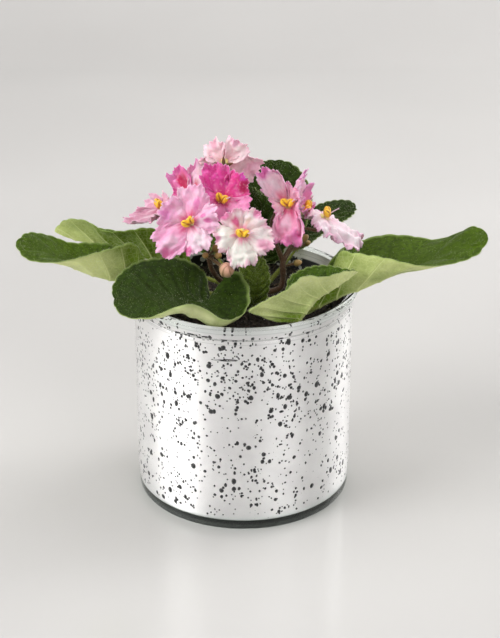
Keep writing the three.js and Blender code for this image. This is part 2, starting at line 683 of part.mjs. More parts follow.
/** One flower stalk with the stalklets and sepals of its blooms, and its closed buds. */
function makeStalk(side) {
  const { limbs, buds } = STALKS[side];
  const parts = limbs.map((line) => (
    taperedRod(line.map(vector), STALK_RADIUS, STALK_RADIUS * LIMB_TAPER, PETIOLE_SIDES, line.length + 2)
  ));
  for (const bloom of BLOOMS.filter((one) => one.stalk === side)) {
    parts.push(...makePedicel(bloom, vector(limbs[bloom.limb ?? 0].at(-1))));
  }
  for (const bud of buds) {
    const at = vector(bud.at);
    parts.push(taperedRod([vector(bud.from), at], PEDICEL_RADIUS, PEDICEL_RADIUS, 4, 1));
    parts.push(makeBud(at, bud.radius));
  }
  if (OPENING_BUD.stalk === side) {
    const from = vector(OPENING_BUD.from);
    const axis = vector(OPENING_BUD.at).sub(from).normalize();
    const end = vector(OPENING_BUD.at).addScaledVector(axis, -OPENING_BUD.radius * 1.1 - FIT_GAP);
    parts.push(taperedRod([from, end], PEDICEL_RADIUS, PEDICEL_RADIUS * PEDICEL_SWELL, 5, 1));
  }
  return parts;
}

const crownSpace = toSolid(makeCrown(FIT_GAP));
addPiece('vase', makeVase(), COLOURS.glass);
addPiece('soil', makeSoil(), COLOURS.soil);
addPiece('crown', makeCrown(0), COLOURS.crown);

for (const leaf of LEAVES) {
  const solid = makeLeaf(leaf).subtract(crownSpace);
  addPiece(leaf.name, toGeometry(solid), COLOURS.leaf);
}

for (const side of ['left', 'right']) {
  const solid = fuse(makeStalk(side)).subtract(crownSpace);
  addPiece(STALKS[side].name, toGeometry(solid), COLOURS.stalk);
}

BLOOMS.forEach((bloom, i) => {
  const number = i + 1;
  addPiece(`corolla_${number}`, toGeometry(makeCorolla(bloom, number)), [bloom.colour, 0.6, 0]);
  addPiece(`anthers_${number}`, toGeometry(makeAnthers(bloom)), COLOURS.anther);
});

addPiece('bud_opening', makeBud(vector(OPENING_BUD.at), OPENING_BUD.radius), COLOURS.bud);

export default violet;
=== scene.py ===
"""A potted african violet in a speckled silver glass vase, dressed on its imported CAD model.

Lengths are in millimetres in the plant's own frame and become metres where a mesh is made. The
origin is the centre of the vase's foot, +Z is up and the viewer's side is -Y.
"""

import logging
import math
from dataclasses import dataclass, field
from enum import Enum
from functools import cache

import bpy
import numpy as np
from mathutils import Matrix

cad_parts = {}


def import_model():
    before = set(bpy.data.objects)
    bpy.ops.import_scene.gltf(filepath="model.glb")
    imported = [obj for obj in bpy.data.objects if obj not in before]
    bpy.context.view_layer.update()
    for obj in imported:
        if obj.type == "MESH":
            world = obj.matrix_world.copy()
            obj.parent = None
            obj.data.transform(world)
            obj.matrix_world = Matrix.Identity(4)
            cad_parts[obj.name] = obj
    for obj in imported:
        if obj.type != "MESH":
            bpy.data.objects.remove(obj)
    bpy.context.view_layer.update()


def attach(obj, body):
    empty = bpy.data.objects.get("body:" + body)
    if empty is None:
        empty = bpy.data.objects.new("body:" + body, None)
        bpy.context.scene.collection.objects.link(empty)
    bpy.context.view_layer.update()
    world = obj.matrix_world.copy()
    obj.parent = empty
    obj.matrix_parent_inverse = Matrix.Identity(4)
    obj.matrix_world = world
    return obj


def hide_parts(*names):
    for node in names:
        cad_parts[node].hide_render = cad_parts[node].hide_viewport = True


log = logging.getLogger("african_violet")

METRES = 0.001
UP = np.array([0.0, 0.0, 1.0])
CROWN_CENTRE = np.array([4.0, 0.0, 0.0])
CROWN_REACH = 5.6
CROWN_TOP = 107.0
FLOAT_SOCKET = "NodeSocketFloat"
VECTOR_SOCKET = "NodeSocketVector"

Array = np.ndarray
Chance = np.random.Generator
Material = bpy.types.Material
Node = bpy.types.Node
Socket = bpy.types.NodeSocket
Tree = bpy.types.NodeTree
Colour = tuple[int, int, int]
Points = list[list[float]]


class Face(Enum):
    """The two faces of a leaf or petal."""

    UPPER = 1.0
    UNDER = 0.0


class Light(Enum):
    """The lamps of the studio: place in metres, size in metres, power in watts."""

    WINDOW = ((-1.15, -0.5, 0.7), (0.8, 1.2), 17.0)
    FILL = ((0.9, -1.2, 0.8), (0.9, 0.9), 7.0)
    OVERHEAD = ((0.1, 0.25, 1.5), (1.3, 1.0), 10.0)
    REAR = ((0.95, 0.55, 0.6), (0.7, 0.8), 8.0)


def linear(red: float, green: float, blue: float) -> Array:
    """Screen values from 0 to 255 as linear colour."""
    share = np.array([red, green, blue], float) / 255.0
    return np.where(share <= 0.04045, share / 12.92, ((share + 0.055) / 1.055) ** 2.4)


def laid_over(base: Array, colour: Colour, weight: Array) -> Array:
    """Base colours with one in screen values laid over them by weight."""
    weight = np.clip(weight, 0, 1)[..., None]
    return base * (1 - weight) + linear(*colour) * weight


def rgba(colour: Array) -> tuple[float, float, float, float]:
    """A linear colour with full alpha."""
    return (float(colour[0]), float(colour[1]), float(colour[2]), 1.0)


def screen(colour: Colour) -> tuple[float, float, float, float]:
    """A colour in screen values as a shader takes it."""
    return rgba(linear(*colour))


def unit(vectors: Array) -> Array:
    """Vectors scaled to length one."""
    length = np.linalg.norm(vectors, axis=-1, keepdims=True)
    return vectors / np.maximum(length, 1e-12)


def ease(value: Array, low: float, high: float) -> Array:
    """A smooth step: 0 up to low, 1 from high, and 3t² - 2t³ between."""
    t = np.clip((value - low) / (high - low), 0.0, 1.0)
    return t * t * (3.0 - 2.0 * t)


@dataclass(frozen=True)
class Line:
    """A smooth line in space, read by its share of length."""

    points: Array
    shares: Array

    @staticmethod
    def through(listed: object) -> "Line":
        """The centripetal Catmull-Rom line through the points.

        Between two points it is the cubic whose end slopes come from the neighbours, with each
        span's parameter as long as the square root of its chord.

        Args:
            listed: The points, from start to end.

        Returns:
            The line, with 48 steps in each span.
        """
        p = np.asarray(listed, float)
        full = np.vstack([2 * p[0] - p[1], p, 2 * p[-1] - p[-2]])
        x0, x1, x2, x3 = full[:-3], full[1:-2], full[2:-1], full[3:]
        chords = (x1 - x0, x2 - x1, x3 - x2)
        d0, d1, d2 = (np.sqrt(np.linalg.norm(chord, axis=1, keepdims=True)) for chord in chords)
        slope1 = ((x1 - x0) / d0 - (x2 - x0) / (d0 + d1) + (x2 - x1) / d1) * d1
        slope2 = ((x2 - x1) / d1 - (x3 - x1) / (d1 + d2) + (x3 - x2) / d2) * d1
        t = np.linspace(0.0, 1.0, 49)[None, :, None]
        a = 2 * x1 - 2 * x2 + slope1 + slope2
        b = -3 * x1 + 3 * x2 - 2 * slope1 - slope2
        spans = x1[:, None] + slope1[:, None] * t + b[:, None] * t**2 + a[:, None] * t**3
        points = np.vstack([spans[:, :-1].reshape(-1, 3), p[-1:]])
        lengths = np.concatenate([[0.0], np.cumsum(np.linalg.norm(np.diff(points, axis=0), axis=1))])
        return Line(points, lengths / lengths[-1])

    def at(self, share: Array) -> Array:
        """The points at these shares of the line's length."""
        return np.stack([np.interp(share, self.shares, self.points[:, i]) for i in range(3)], -1)


class Patchwork:
    """Collects vertices and faces of several grids, and makes one mesh of them."""

    def __init__(self) -> None:
        """Starts empty."""
        self.points: list[Array] = []
        self.quads: list[Array] = []
        self.triangles: list[Array] = []
        self.uvs: list[Array] = []
        self.values: dict[str, list[tuple[int, Array]]] = {}
        self.count = 0

    def add(
        self,
        points: Array,
        quads: Array | None = None,
        triangles: Array | None = None,
        uv: Array | None = None,
        **values: Array | float,
    ) -> None:
        """Adds one set of vertices with its faces.

        Args:
            points: Vertices in millimetres, one row each.
            quads: Four vertex numbers a row, counted within this set.
            triangles: Three vertex numbers a row, counted within this set.
            uv: Surface coordinates, one row for each vertex.
            values: Named numbers or colours, for each vertex or one for all.
        """
        points = points.reshape(-1, 3)
        number = len(points)
        self.points.append(points)
        if quads is not None:
            self.quads.append(quads.reshape(-1, 4) + self.count)
        if triangles is not None:
            self.triangles.append(triangles.reshape(-1, 3) + self.count)
        self.uvs.append(np.zeros((number, 2)) if uv is None else uv.reshape(-1, 2))
        for name, value in values.items():
            array = np.asarray(value, float)
            width = array.shape[-1] if array.ndim and array.shape[-1] == 3 else 1
            filled = np.broadcast_to(array.reshape(-1, width), (number, width))
            self.values.setdefault(name, []).append((self.count, filled))
        self.count += number

    def build(self, name: str, material: Material) -> bpy.types.Object:
        """Makes the object with smooth faces, its surface coordinates and its named values.

        Args:
            name: The piece's name.
            material: Its finish.

        Returns:
            The linked object, at the origin.
        """
        points = np.vstack(self.points) * METRES
        quads = np.vstack(self.quads) if self.quads else np.zeros((0, 4), int)
        triangles = np.vstack(self.triangles) if self.triangles else np.zeros((0, 3), int)
        corners = np.concatenate([quads.ravel(), triangles.ravel()]).astype(np.int32)
        starts = np.concatenate([np.arange(len(quads)) * 4, len(quads) * 4 + np.arange(len(triangles)) * 3])
        mesh = bpy.data.meshes.new(name)
        mesh.vertices.add(len(points))
        mesh.vertices.foreach_set("co", points.ravel())
        mesh.loops.add(len(corners))
        mesh.loops.foreach_set("vertex_index", corners)
        mesh.polygons.add(len(starts))
        mesh.polygons.foreach_set("loop_start", starts.astype(np.int32))
        mesh.polygons.foreach_set("use_smooth", np.ones(len(starts), bool))
        layer = mesh.uv_layers.new(name="UVMap")
        layer.uv.foreach_set("vector", np.vstack(self.uvs)[corners].astype(np.float32).ravel())
        for key, parts in self.values.items():
            array = np.zeros((len(points), parts[0][1].shape[1]), np.float32)
            for start, part in parts:
                array[start : start + len(part)] = part
            if array.shape[1] == 3:
                colour = np.hstack([array, np.ones((len(array), 1), np.float32)])
                mesh.attributes.new(key, "FLOAT_COLOR", "POINT").data.foreach_set("color", colour.ravel())
            else:
                mesh.attributes.new(key, "FLOAT", "POINT").data.foreach_set("value", array.ravel())
        mesh.update(calc_edges=True)
        mesh.materials.append(material)
        piece = bpy.data.objects.new(name, mesh)
        bpy.context.scene.collection.objects.link(piece)
        log.info("%s: %d triangles", name, len(quads) * 2 + len(triangles))
        return piece


def grid_quads(rows: int, columns: int, closed: bool = False) -> Array:
    """The faces of a grid of vertices, wound so that row step cross column step points inwards.

    Args:
        rows: How many rows.
        columns: How many columns.
        closed: Whether the last column joins the first.

    Returns:
        Four vertex numbers a face.
    """
    row = np.arange(rows - 1)[:, None] * columns
    j = np.arange(columns if closed else columns - 1)[None, :]
    after = (j + 1) % columns
    return np.stack([row + j, row + after, row + columns + after, row + columns + j], -1).reshape(-1, 4)


def cap_fans(rows: int, columns: int) -> Array:
    """The triangles that close a grid of rings, whose first and last poles follow its vertices.

    Args:
        rows: How many rows.
        columns: How many columns.

    Returns:
        Three vertex numbers a triangle.
    """
    j = np.arange(columns)
    after = (j + 1) % columns
    last = (rows - 1) * columns
    start = np.stack([np.full(columns, rows * columns), after, j], -1)
    end = np.stack([np.full(columns, rows * columns + 1), last + j, last + after], -1)
    return np.vstack([start, end])


def circle(number: int) -> Array:
    """The angles of this many even steps round a circle."""
    return np.linspace(0, 2 * np.pi, number, endpoint=False)


def around(turn: Array, side: Array, other: Array) -> Array:
    """Directions at these angles, from the side towards the other: one row of them a side."""
    cosine, sine = np.cos(turn)[None, :, None], np.sin(turn)[None, :, None]
    return side[..., None, :] * cosine + other[..., None, :] * sine


def grid_normals(points: Array) -> Array:
    """Unit normals of a grid: row step cross column step at each vertex."""
    return unit(np.cross(np.gradient(points, axis=0), np.gradient(points, axis=1)))


def pairs(radii: object, heights: object) -> Array:
    """Profile points (radius, height) from radii and heights, one of which may be one number."""
    return np.stack(np.broadcast_arrays(radii, heights), -1).reshape(-1, 2).astype(float)


def facing_sign(points: Array, axis: Array) -> float:
    """1 if row step cross column step points along the axis on the whole, or else -1."""
    normals = np.cross(np.gradient(points, axis=0), np.gradient(points, axis=1))
    return 1.0 if normals.reshape(-1, 3).sum(0) @ axis > 0 else -1.0


def crown_exit(path: Array) -> int:
    """Which point of a path that starts inside the short stem is the first one outside it."""
    away = np.linalg.norm(path[:, :2] - CROWN_CENTRE[:2], axis=1)
    return int(np.argmax((away > CROWN_REACH) | (path[:, 2] > CROWN_TOP)))


def on_both_faces(value: Array | float, rows: int, columns: int) -> Array:
    """A number or colour for each vertex of a grid, or one for all, listed for two such grids."""
    if np.ndim(value) == 3 or np.shape(value) == (3,):
        return np.tile(np.broadcast_to(value, (rows, columns, 3)).reshape(-1, 3), (2, 1))
    return np.tile(np.broadcast_to(value, (rows, columns)).ravel(), 2)


def add_sheet(
    work: Patchwork,
    points: Array,
    sign: float,
    over: Array | float,
    under: Array | float,
    uv: Array,
    **values: Array | float,
) -> tuple[Array, Array]:
    """Adds a closed thin sheet: a grid set off to both sides along its normals, with a closed border.

    Args:
        work: Where the sheet goes.
        points: The middle surface, rows by columns by three.
        sign: 1 if row step cross column step points to the upper side, or else -1.
        over: How far the upper face lies from the middle surface.
        under: How far the under face lies from it.
        uv: Surface coordinates, rows by columns by two.
        values: Named numbers or colours for each vertex of the grid, used on both faces.

    Returns:
        The upper face's points and the normals towards it.
    """
    rows, columns = points.shape[:2]
    normals = grid_normals(points) * sign
    upper = points + normals * np.asarray(over)[..., None]
    lower = points - normals * np.asarray(under)[..., None]
    total = rows * columns
    faces = grid_quads(rows, columns)
    faces = faces if sign < 0 else faces[:, ::-1]
    index = np.arange(total).reshape(rows, columns)
    loop = np.concatenate([index[:, 0], index[-1, 1:], index[-2::-1, -1], index[0, -2:0:-1]])
    loop = loop if sign > 0 else loop[::-1]
    after = np.roll(loop, -1)
    border = np.stack([after, loop, loop + total, after + total], -1)
    work.add(
        np.concatenate([upper.reshape(-1, 3), lower.reshape(-1, 3)]),
        np.vstack([faces, faces[:, ::-1] + total, border]),
        uv=np.tile(uv.reshape(-1, 2), (2, 1)),
        upper=np.repeat([Face.UPPER.value, Face.UNDER.value], total),
        **{name: on_both_faces(value, rows, columns) for name, value in values.items()},
    )
    return upper, normals


def add_tube(
    work: Patchwork,
    path: Array,
    radii: Array,
    sides: int = 14,
    **values: Array | float,
) -> tuple[Array, Array]:
    """Adds a round closed rod: circles square to the path, joined in order, with both ends capped.

    Args:
        work: Where the rod goes.
        path: Points along its middle line.
        radii: The radius at each point.
        sides: Vertices in a circle.
        values: Named numbers or colours, one for all vertices.

    Returns:
        The rod's rings of points and their outward directions.
    """
    steps = len(path)
    along = unit(np.gradient(path, axis=0))
    flat = np.linalg.svd(path - path.mean(0))[2][-1]
    first = unit(flat - along * (along @ flat)[:, None])
    second = np.cross(along, first)
    turn = circle(sides)
    out = around(turn, first, second)
    rings = path[:, None] + out * np.asarray(radii)[:, None, None]
    points = np.vstack([rings.reshape(-1, 3), path[[0, -1]]])
    share = np.linspace(0, 1, steps)[:, None]
    uv = np.stack(np.broadcast_arrays(share, turn[None, :] / (2 * np.pi)), -1).reshape(-1, 2)
    uv = np.vstack([uv, [[0, 0], [1, 0]]])
    work.add(points, grid_quads(steps, sides, closed=True), cap_fans(steps, sides), uv, **values)
    return rings, out


def add_turned(
    work: Patchwork,
    profile: Array,
    segments: int,
    centre: Array,
    axis: Array = UP,
    swell: Array | None = None,
    **values: Array | float,
) -> Array:
    """Adds a surface turned from a profile of (radius, height), whose ends lie on the axis.

    Args:
        work: Where it goes.
        profile: Its points in order, from the low end outwards and round to the other end.
        segments: Vertices in a circle.
        centre: Where radius 0 and height 0 is.
        axis: The direction of height.
        swell: Factors on the radius, profile points by segments.
        values: Named numbers or colours.

    Returns:
        The rings of points.
    """
    front = unit(np.asarray(axis, float))
    side = unit(np.cross(front, [0.31, 0.87, 0.38]))
    other = np.cross(front, side)
    turn = circle(segments)
    inner = profile[1:-1]
    radius = inner[:, 0:1] * np.ones((1, segments))
    if swell is not None:
        radius = radius * swell[1:-1]
    rings = centre + radius[..., None] * around(turn, side, other)
    rings = rings + inner[:, 1][:, None, None] * front
    poles = centre + profile[[0, -1], 1][:, None] * front
    rows = len(inner)
    share = np.linspace(0, 1, rows)[:, None]
    uv = np.stack(np.broadcast_arrays(turn[None, :] / (2 * np.pi), share), -1).reshape(-1, 2)
    uv = np.vstack([uv, [[0, 0], [0, 1]]])
    points = np.vstack([rings.reshape(-1, 3), poles])
    work.add(points, grid_quads(rows, segments, closed=True), cap_fans(rows, segments), uv, **values)
    return rings


@dataclass
class Down:
    """The plant's fine hairs, three-sided spikes that are laid by seeded chance."""

    rng: Chance
    work: Patchwork = field(default_factory=Patchwork)

    def add(
        self,
        roots: Array,
        outward: Array,
        sway: float,
        lengths: tuple[float, float],
        radius: float = 0.035,
    ) -> None:
        """Adds hairs, each a pointed spike with a closed foot.

        Args:
            roots: Where each hair starts.
            outward: Where each hair points on the whole.
            sway: How far the directions vary.
            lengths: The shortest and the longest.
            radius: The radius at the foot.
        """
        number = len(roots)
        front = unit(outward + self.rng.normal(0, sway, (number, 3)))
        length = self.rng.uniform(*lengths, number)
        side = unit(np.cross(front, [0.37, 0.61, 0.7]))
        feet = roots[:, None] + radius * around(circle(3), side, np.cross(front, side))
        tips = roots + front * length[:, None]
        start = np.arange(number)[:, None, None] * 4
        faces = start + np.array([[0, 1, 3], [1, 2, 3], [2, 0, 3], [0, 2, 1]])[None]
        self.work.add(np.concatenate([feet, tips[:, None]], 1), triangles=faces.reshape(-1, 3))


class Nodes:
    """A short way to write a material's or a group's nodes."""

    def __init__(self, tree: Tree) -> None:
        """Holds the tree that the nodes go in."""
        self.tree = tree

    def feed(self, node: Node, inputs: dict[object, object]) -> Node:
        """Links or sets a node's inputs, by name or number.

        Args:
            node: The node.
            inputs: Values or sockets by name or number.

        Returns:
            The node.
        """
        for key, value in inputs.items():
            if isinstance(value, Socket):
                self.tree.links.new(value, node.inputs[key])
            else:
                node.inputs[key].default_value = value
        return node

    def add(
        self,
        kind: str,
        inputs: dict[object, object] | None = None,
        **settings: object,
    ) -> Node:
        """Adds a node, sets its options, and links or sets its inputs.

        Args:
            kind: The node's type.
            inputs: Values or output sockets, by input name or number.
            settings: The node's own options.

        Returns:
            The node.
        """
        node = self.tree.nodes.new(kind)
        for key, value in settings.items():
            setattr(node, key, value)
        return self.feed(node, inputs or {})

    def math(
        self, operation: str, first: object, second: object = 0.0, clamp: bool = False
    ) -> Socket:
        """A sum, product or other operation on two values."""
        inputs = {0: first, 1: second}
        return self.add("ShaderNodeMath", inputs, operation=operation, use_clamp=clamp).outputs[0]

    def product(self, first: object, second: object) -> Socket:
        """Two values multiplied."""
        return self.math("MULTIPLY", first, second)

    def less(self, value: object, part: object, clamp: bool = False) -> Socket:
        """A value less a part."""
        return self.math("SUBTRACT", value, part, clamp=clamp)

    def mix(self, factor: object, first: object, second: object, blend: str = "MIX") -> Socket:
        """Mixes two colours by a factor."""
        inputs = {0: factor, 6: first, 7: second}
        return self.add("ShaderNodeMix", inputs, data_type="RGBA", blend_type=blend).outputs[2]

    def toned(self, colour: object, tone: object) -> Socket:
        """A colour multiplied by one tone."""
        grey = self.add("ShaderNodeCombineColor", {0: tone, 1: tone, 2: tone})
        return self.mix(1.0, colour, grey.outputs[0], "MULTIPLY")

    def ramp(
        self, value: object, low: float, high: float, start: float = 0.0, end: float = 1.0
    ) -> Socket:
        """Maps low to start and high to end, smoothly and without going past them."""
        inputs = {"Value": value, 1: low, 2: high, 3: start, 4: end}
        return self.add("ShaderNodeMapRange", inputs, interpolation_type="SMOOTHSTEP").outputs[0]

    def noise(
        self, vector: object, scale: object, detail: float = 3.0, roughness: float = 0.5
    ) -> Socket:
        """Soft noise from 0 to 1."""
        inputs = {"Vector": vector, "Scale": scale, "Detail": detail, "Roughness": roughness}
        return self.add("ShaderNodeTexNoise", inputs).outputs[0]

    def bump(self, height: object, strength: object, distance: float) -> Socket:
        """A fine relief for the shader's normal, with its distance in metres."""
        inputs = {"Height": height, "Strength": strength, "Distance": distance}
        return self.add("ShaderNodeBump", inputs).outputs[0]

    def group(self, tree: Tree, inputs: dict[str, object]) -> Node:
        """Puts in a shared group with this material's own values."""
        return self.add("ShaderNodeGroup", inputs, node_tree=tree)

    def value(self, name: str, output: str = "Fac") -> Socket:
        """A number or colour that the mesh carries, by its name."""
        node = self.add("ShaderNodeAttribute", attribute_name=name, attribute_type="GEOMETRY")
        return node.outputs[output]

    def coordinates(self, kind: str) -> Socket:
        """Texture coordinates of this kind."""
        return self.add("ShaderNodeTexCoord").outputs[kind]

    def place(self) -> Socket:
        """The place in space, in the object's own frame."""
        return self.coordinates("Object")

    def part(self, vector: object, number: int) -> Socket:
        """One of a vector's three numbers."""
        return self.add("ShaderNodeSeparateXYZ", {0: vector}).outputs[number]


class Finish:
    """What all finishes share: a name, and a material whose shader gets its inputs by name."""

    name: str

    def inputs(self, n: Nodes) -> dict[str, object]:
        """The shader's inputs, which each finish works out in its own way.

        Args:
            n: The material's nodes.

        Returns:
            Values or sockets by name.
        """
        raise NotImplementedError

    def material(self) -> Material:
        """Builds the finish.

        Returns:
            The material.
        """
        material = bpy.data.materials.new(self.name)
        material.use_nodes = True
        n = Nodes(material.node_tree)
        n.feed(material.node_tree.nodes["Principled BSDF"], self.inputs(n))
        return material


def new_group(
    name: str, inputs: dict[str, float | None], outputs: list[str]
) -> tuple[Nodes, dict[str, Socket], Node]:
    """A shader node group with named sockets.

    Args:
        name: The group's name.
        inputs: The usual value of each number, by name, or None for a vector.
        outputs: The names of the numbers that it gives.

    Returns:
        The group's nodes, its inputs by name and its output node.
    """
    tree = bpy.data.node_groups.new(name, "ShaderNodeTree")
    for key, usual in inputs.items():
        kind = VECTOR_SOCKET if usual is None else FLOAT_SOCKET
        socket = tree.interface.new_socket(name=key, in_out="INPUT", socket_type=kind)
        if usual is not None:
            socket.default_value = usual
    for key in outputs:
        tree.interface.new_socket(name=key, in_out="OUTPUT", socket_type=FLOAT_SOCKET)
    nodes = Nodes(tree)
    given = nodes.add("NodeGroupInput").outputs
    return nodes, {key: given[key] for key in inputs}, nodes.add("NodeGroupOutput")


@cache
def speck_field() -> Tree:
    """Round and drawn-out specks of many sizes, thinned out by slow patches.

    They are cell centres nearer than a size that changes from cell to cell.

    Returns:
        A group with Vector, Scale, Size and Share as inputs and Mask as output.
    """
    inputs = {"Vector": None, "Scale": 600.0, "Size": 0.3, "Share": 0.5}
    n, given, end = new_group("Specks", inputs, ["Mask"])
    spread = {"Vector": given["Vector"], "Scale": given["Scale"], "Randomness": 1.0}
    cells = n.add("ShaderNodeTexVoronoi", spread)
    chance = n.add("ShaderNodeSeparateColor", {0: cells.outputs["Color"]})
    kept = n.math("LESS_THAN", chance.outputs[0], given["Share"])
    size = n.product(given["Size"], n.math("ADD", n.product(chance.outputs[1], 0.75), 0.25))
    edge = n.math("MULTIPLY", n.less(size, cells.outputs["Distance"]), 18.0, clamp=True)
    n.feed(end, {"Mask": n.product(edge, kept)})
    return n.tree


@cache
def soft_grain() -> Tree:
    """Slow colour change and a fine grain, shared by the plant's finishes.

    Returns:
        A group with Vector, Scale and Depth as inputs, and Tone and Height as outputs.
    """
    inputs = {"Vector": None, "Scale": 300.0, "Depth": 0.3}
    n, given, end = new_group("Soft grain", inputs, ["Tone", "Height"])
    slow = n.noise(given["Vector"], given["Scale"])
    fine = n.noise(given["Vector"], n.product(given["Scale"], 7.0), 2.0)
    shift = n.product(n.less(slow, 0.5), given["Depth"])
    n.feed(end, {"Tone": n.math("ADD", shift, 1.0), "Height": fine})
    return n.tree


@cache
def leaf_veins() -> Tree:
    """A leaf's midrib, its curved side veins and the fine net between them.

    In the leaf's own coordinates x runs along the blade and y across it. A side vein is where
    (x - 0.1 share^1.2) times the vein count is whole; share is the distance from the midrib as a
    share of the half blade.

    Returns:
        A group with UV, Vector, Count and Net as inputs, and Veins, Height, Edge and Share as
        outputs.
    """
    inputs = {"UV": None, "Vector": None, "Count": 8.0, "Net": 420.0}
    n, given, end = new_group("Leaf veins", inputs, ["Veins", "Height", "Edge", "Share"])
    split = n.add("ShaderNodeSeparateXYZ", {0: given["UV"]})
    along = split.outputs[0]
    share = n.math("ABSOLUTE", n.product(n.less(split.outputs[1], 0.5), 2.0))
    lean = n.product(n.math("POWER", share, 1.2), 0.1)
    phase = n.product(n.less(along, lean), given["Count"])
    off = n.math("ABSOLUTE", n.less(n.math("FRACT", n.math("ADD", phase, 0.5)), 0.5))
    width = n.product(n.less(1.15, share), 0.085)
    side = n.less(1.0, n.math("DIVIDE", off, width), clamp=True)
    rib_width = n.product(n.less(1.25, along), 0.055)
    rib = n.less(1.0, n.math("DIVIDE", share, rib_width), clamp=True)
    mesh = {"Vector": given["Vector"], "Scale": given["Net"]}
    cells = n.add("ShaderNodeTexVoronoi", mesh, feature="DISTANCE_TO_EDGE").outputs["Distance"]
    net = n.product(n.less(1.0, n.product(cells, 9.0), clamp=True), 0.24)
    main = n.math("MAXIMUM", side, rib)
    results = {
        "Veins": n.math("MAXIMUM", main, net),
        "Height": n.less(n.product(cells, 1.6), main),
        "Edge": n.ramp(share, 0.95, 1.0),
        "Share": share,
    }
    n.feed(end, results)
    return n.tree


@dataclass(frozen=True)
class LeafFinish(Finish):
    """A leaf's velvety dark top and pale veined underside, which painted shade turns green from the stalk
    end up to a set share of its length.
    """

    name: str
    top: Colour
    pale: Colour
    # How far along the blade the painted shade on the underside reaches.
    shade_reach: float = 0.6
    vein: Colour = (222, 230, 160)
    felt: Colour = (226, 232, 190)
    # The green of the painted shade on the underside.
    low: Colour = (104, 130, 34)
    rim: Colour = (150, 172, 96)
    stalk: Colour = (128, 138, 62)

    def upper_colour(self, n: Nodes, place: object, veins: Node) -> Socket:
        """The top: dark in the nap's mottles and by the midrib, and a little lighter on the veins.

        Args:
            n: The material's nodes.
            place: The place in space.
            veins: The veins' group.

        Returns:
            The colour's socket.
        """
        top = linear(*self.top)
        light = rgba(top * 1.6 + linear(20, 30, 6))
        lit = n.mix(n.product(veins.outputs["Veins"], 0.2), rgba(top), light)
        mottle = n.ramp(n.noise(place, 560.0, 4.0, 0.7), 0.38, 0.62, 0.75, 0.0)
        deep = n.ramp(veins.outputs["Share"], 0.1, 0.85, 0.4, 0.0)
        return n.mix(n.math("MAXIMUM", mottle, deep), lit, rgba(top * 0.35))

    def under_colour(
        self,
        n: Nodes,
        place: object,
        veins: Node,
        along: object,
    ) -> Socket:
        """The underside: pale and felted with light veins; painted shade makes it greener towards the stalk,
        and broad clouds add the same green.

        Args:
            n: The material's nodes.
            place: The place in space.
            veins: The veins' group.
            along: The share of the way along the blade.

        Returns:
            The colour's socket.
        """
        # Painted shade: the underside turns green towards the stalk end, where it lies in shade, and broad
        # noise clouds add the same green.
        drift = n.ramp(n.noise(place, 45.0), 0.35, 0.7, 0.0, 0.6)
        low = n.math("ADD", n.ramp(along, self.shade_reach - 0.45, self.shade_reach, 0.95, 0.0), drift, clamp=True)
        washed = n.mix(low, screen(self.pale), screen(self.low))
        film = n.ramp(n.noise(place, 1300.0), 0.45, 0.7, 0.0, 0.35)
        felted = n.mix(n.product(film, n.less(1.0, low)), washed, screen(self.felt))
        return n.mix(n.product(veins.outputs["Veins"], 0.8), felted, screen(self.vein))

    def inputs(self, n: Nodes) -> dict[str, object]:
        """The shader's inputs, with the veins light on both faces and the rim pale.

        Args:
            n: The material's nodes.

        Returns:
            The inputs by name.
        """
        flat, place = n.coordinates("UV"), n.place()
        veins = n.group(leaf_veins(), {"UV": flat, "Vector": place})
        grain = n.group(soft_grain(), {"Vector": place, "Scale": 60.0, "Depth": 0.7})
        along = n.part(flat, 0)
        below = self.under_colour(n, place, veins, along)
        both = n.mix(n.value("upper"), below, self.upper_colour(n, place, veins))
        edged = n.mix(n.product(veins.outputs["Edge"], 0.55), both, screen(self.rim))
        stalked = n.mix(n.value("stem"), edged, screen(self.stalk))
        height = n.math("ADD", veins.outputs["Height"], n.product(grain.outputs["Height"], 0.6))
        return {
            "Base Color": n.toned(stalked, grain.outputs["Tone"]),
            "Normal": n.bump(height, 0.5, 0.0004),
            "Roughness": 0.5,
            "Specular IOR Level": 0.1,
            "Sheen Weight": 0.02,
            "Sheen Tint": (0.8, 0.9, 0.65, 1.0),
        }


@dataclass(frozen=True)
class PetalFinish(Finish):
    """A petal's painted colour with fine lines and mottles, paler on the back."""

    name: str = "Petals"
    back: Colour = (252, 222, 226)
    line: Colour = (238, 176, 210)
    mottle: Colour = (255, 240, 246)

    def inputs(self, n: Nodes) -> dict[str, object]:
        """The shader's inputs from each petal's own paint, with soft mottles and fine lines to its edge.

        Args:
            n: The material's nodes.

        Returns:
            The inputs by name.
        """
        flat, place = n.coordinates("UV"), n.place()
        paint = n.value("paint", "Color")
        grain = n.group(soft_grain(), {"Vector": place, "Scale": 330.0, "Depth": 0.35})
        stretched = n.add("ShaderNodeMapping", {"Vector": flat, "Scale": (130.0, 9.0, 1.0)})
        lines = n.noise(stretched.outputs[0], 1.0, 2.0)
        behind = n.ramp(n.value("upper"), 0.0, 1.0, 0.5, 0.0)
        faced = n.mix(behind, paint, screen(self.back))
        drawn = n.mix(1.0, faced, screen(self.line), "MULTIPLY")
        lined = n.mix(n.ramp(lines, 0.5, 0.8, 0.0, 0.16), faced, drawn)
        mottle = n.ramp(n.noise(place, 620.0), 0.5, 0.75, 0.0, 0.22)
        fresh = n.mix(mottle, lined, screen(self.mottle))
        height = n.math("ADD", n.product(lines, 0.3), n.product(grain.outputs["Height"], 0.6))
        return {
            "Base Color": n.toned(fresh, grain.outputs["Tone"]),
            "Normal": n.bump(height, 0.3, 0.0003),
            "Roughness": 0.5,
            "Specular IOR Level": 0.3,
            "Sheen Weight": 0.06,
            "Subsurface Weight": 0.35,
            "Subsurface Radius": (1.0, 0.6, 0.7),
            "Subsurface Scale": 0.0012,
        }


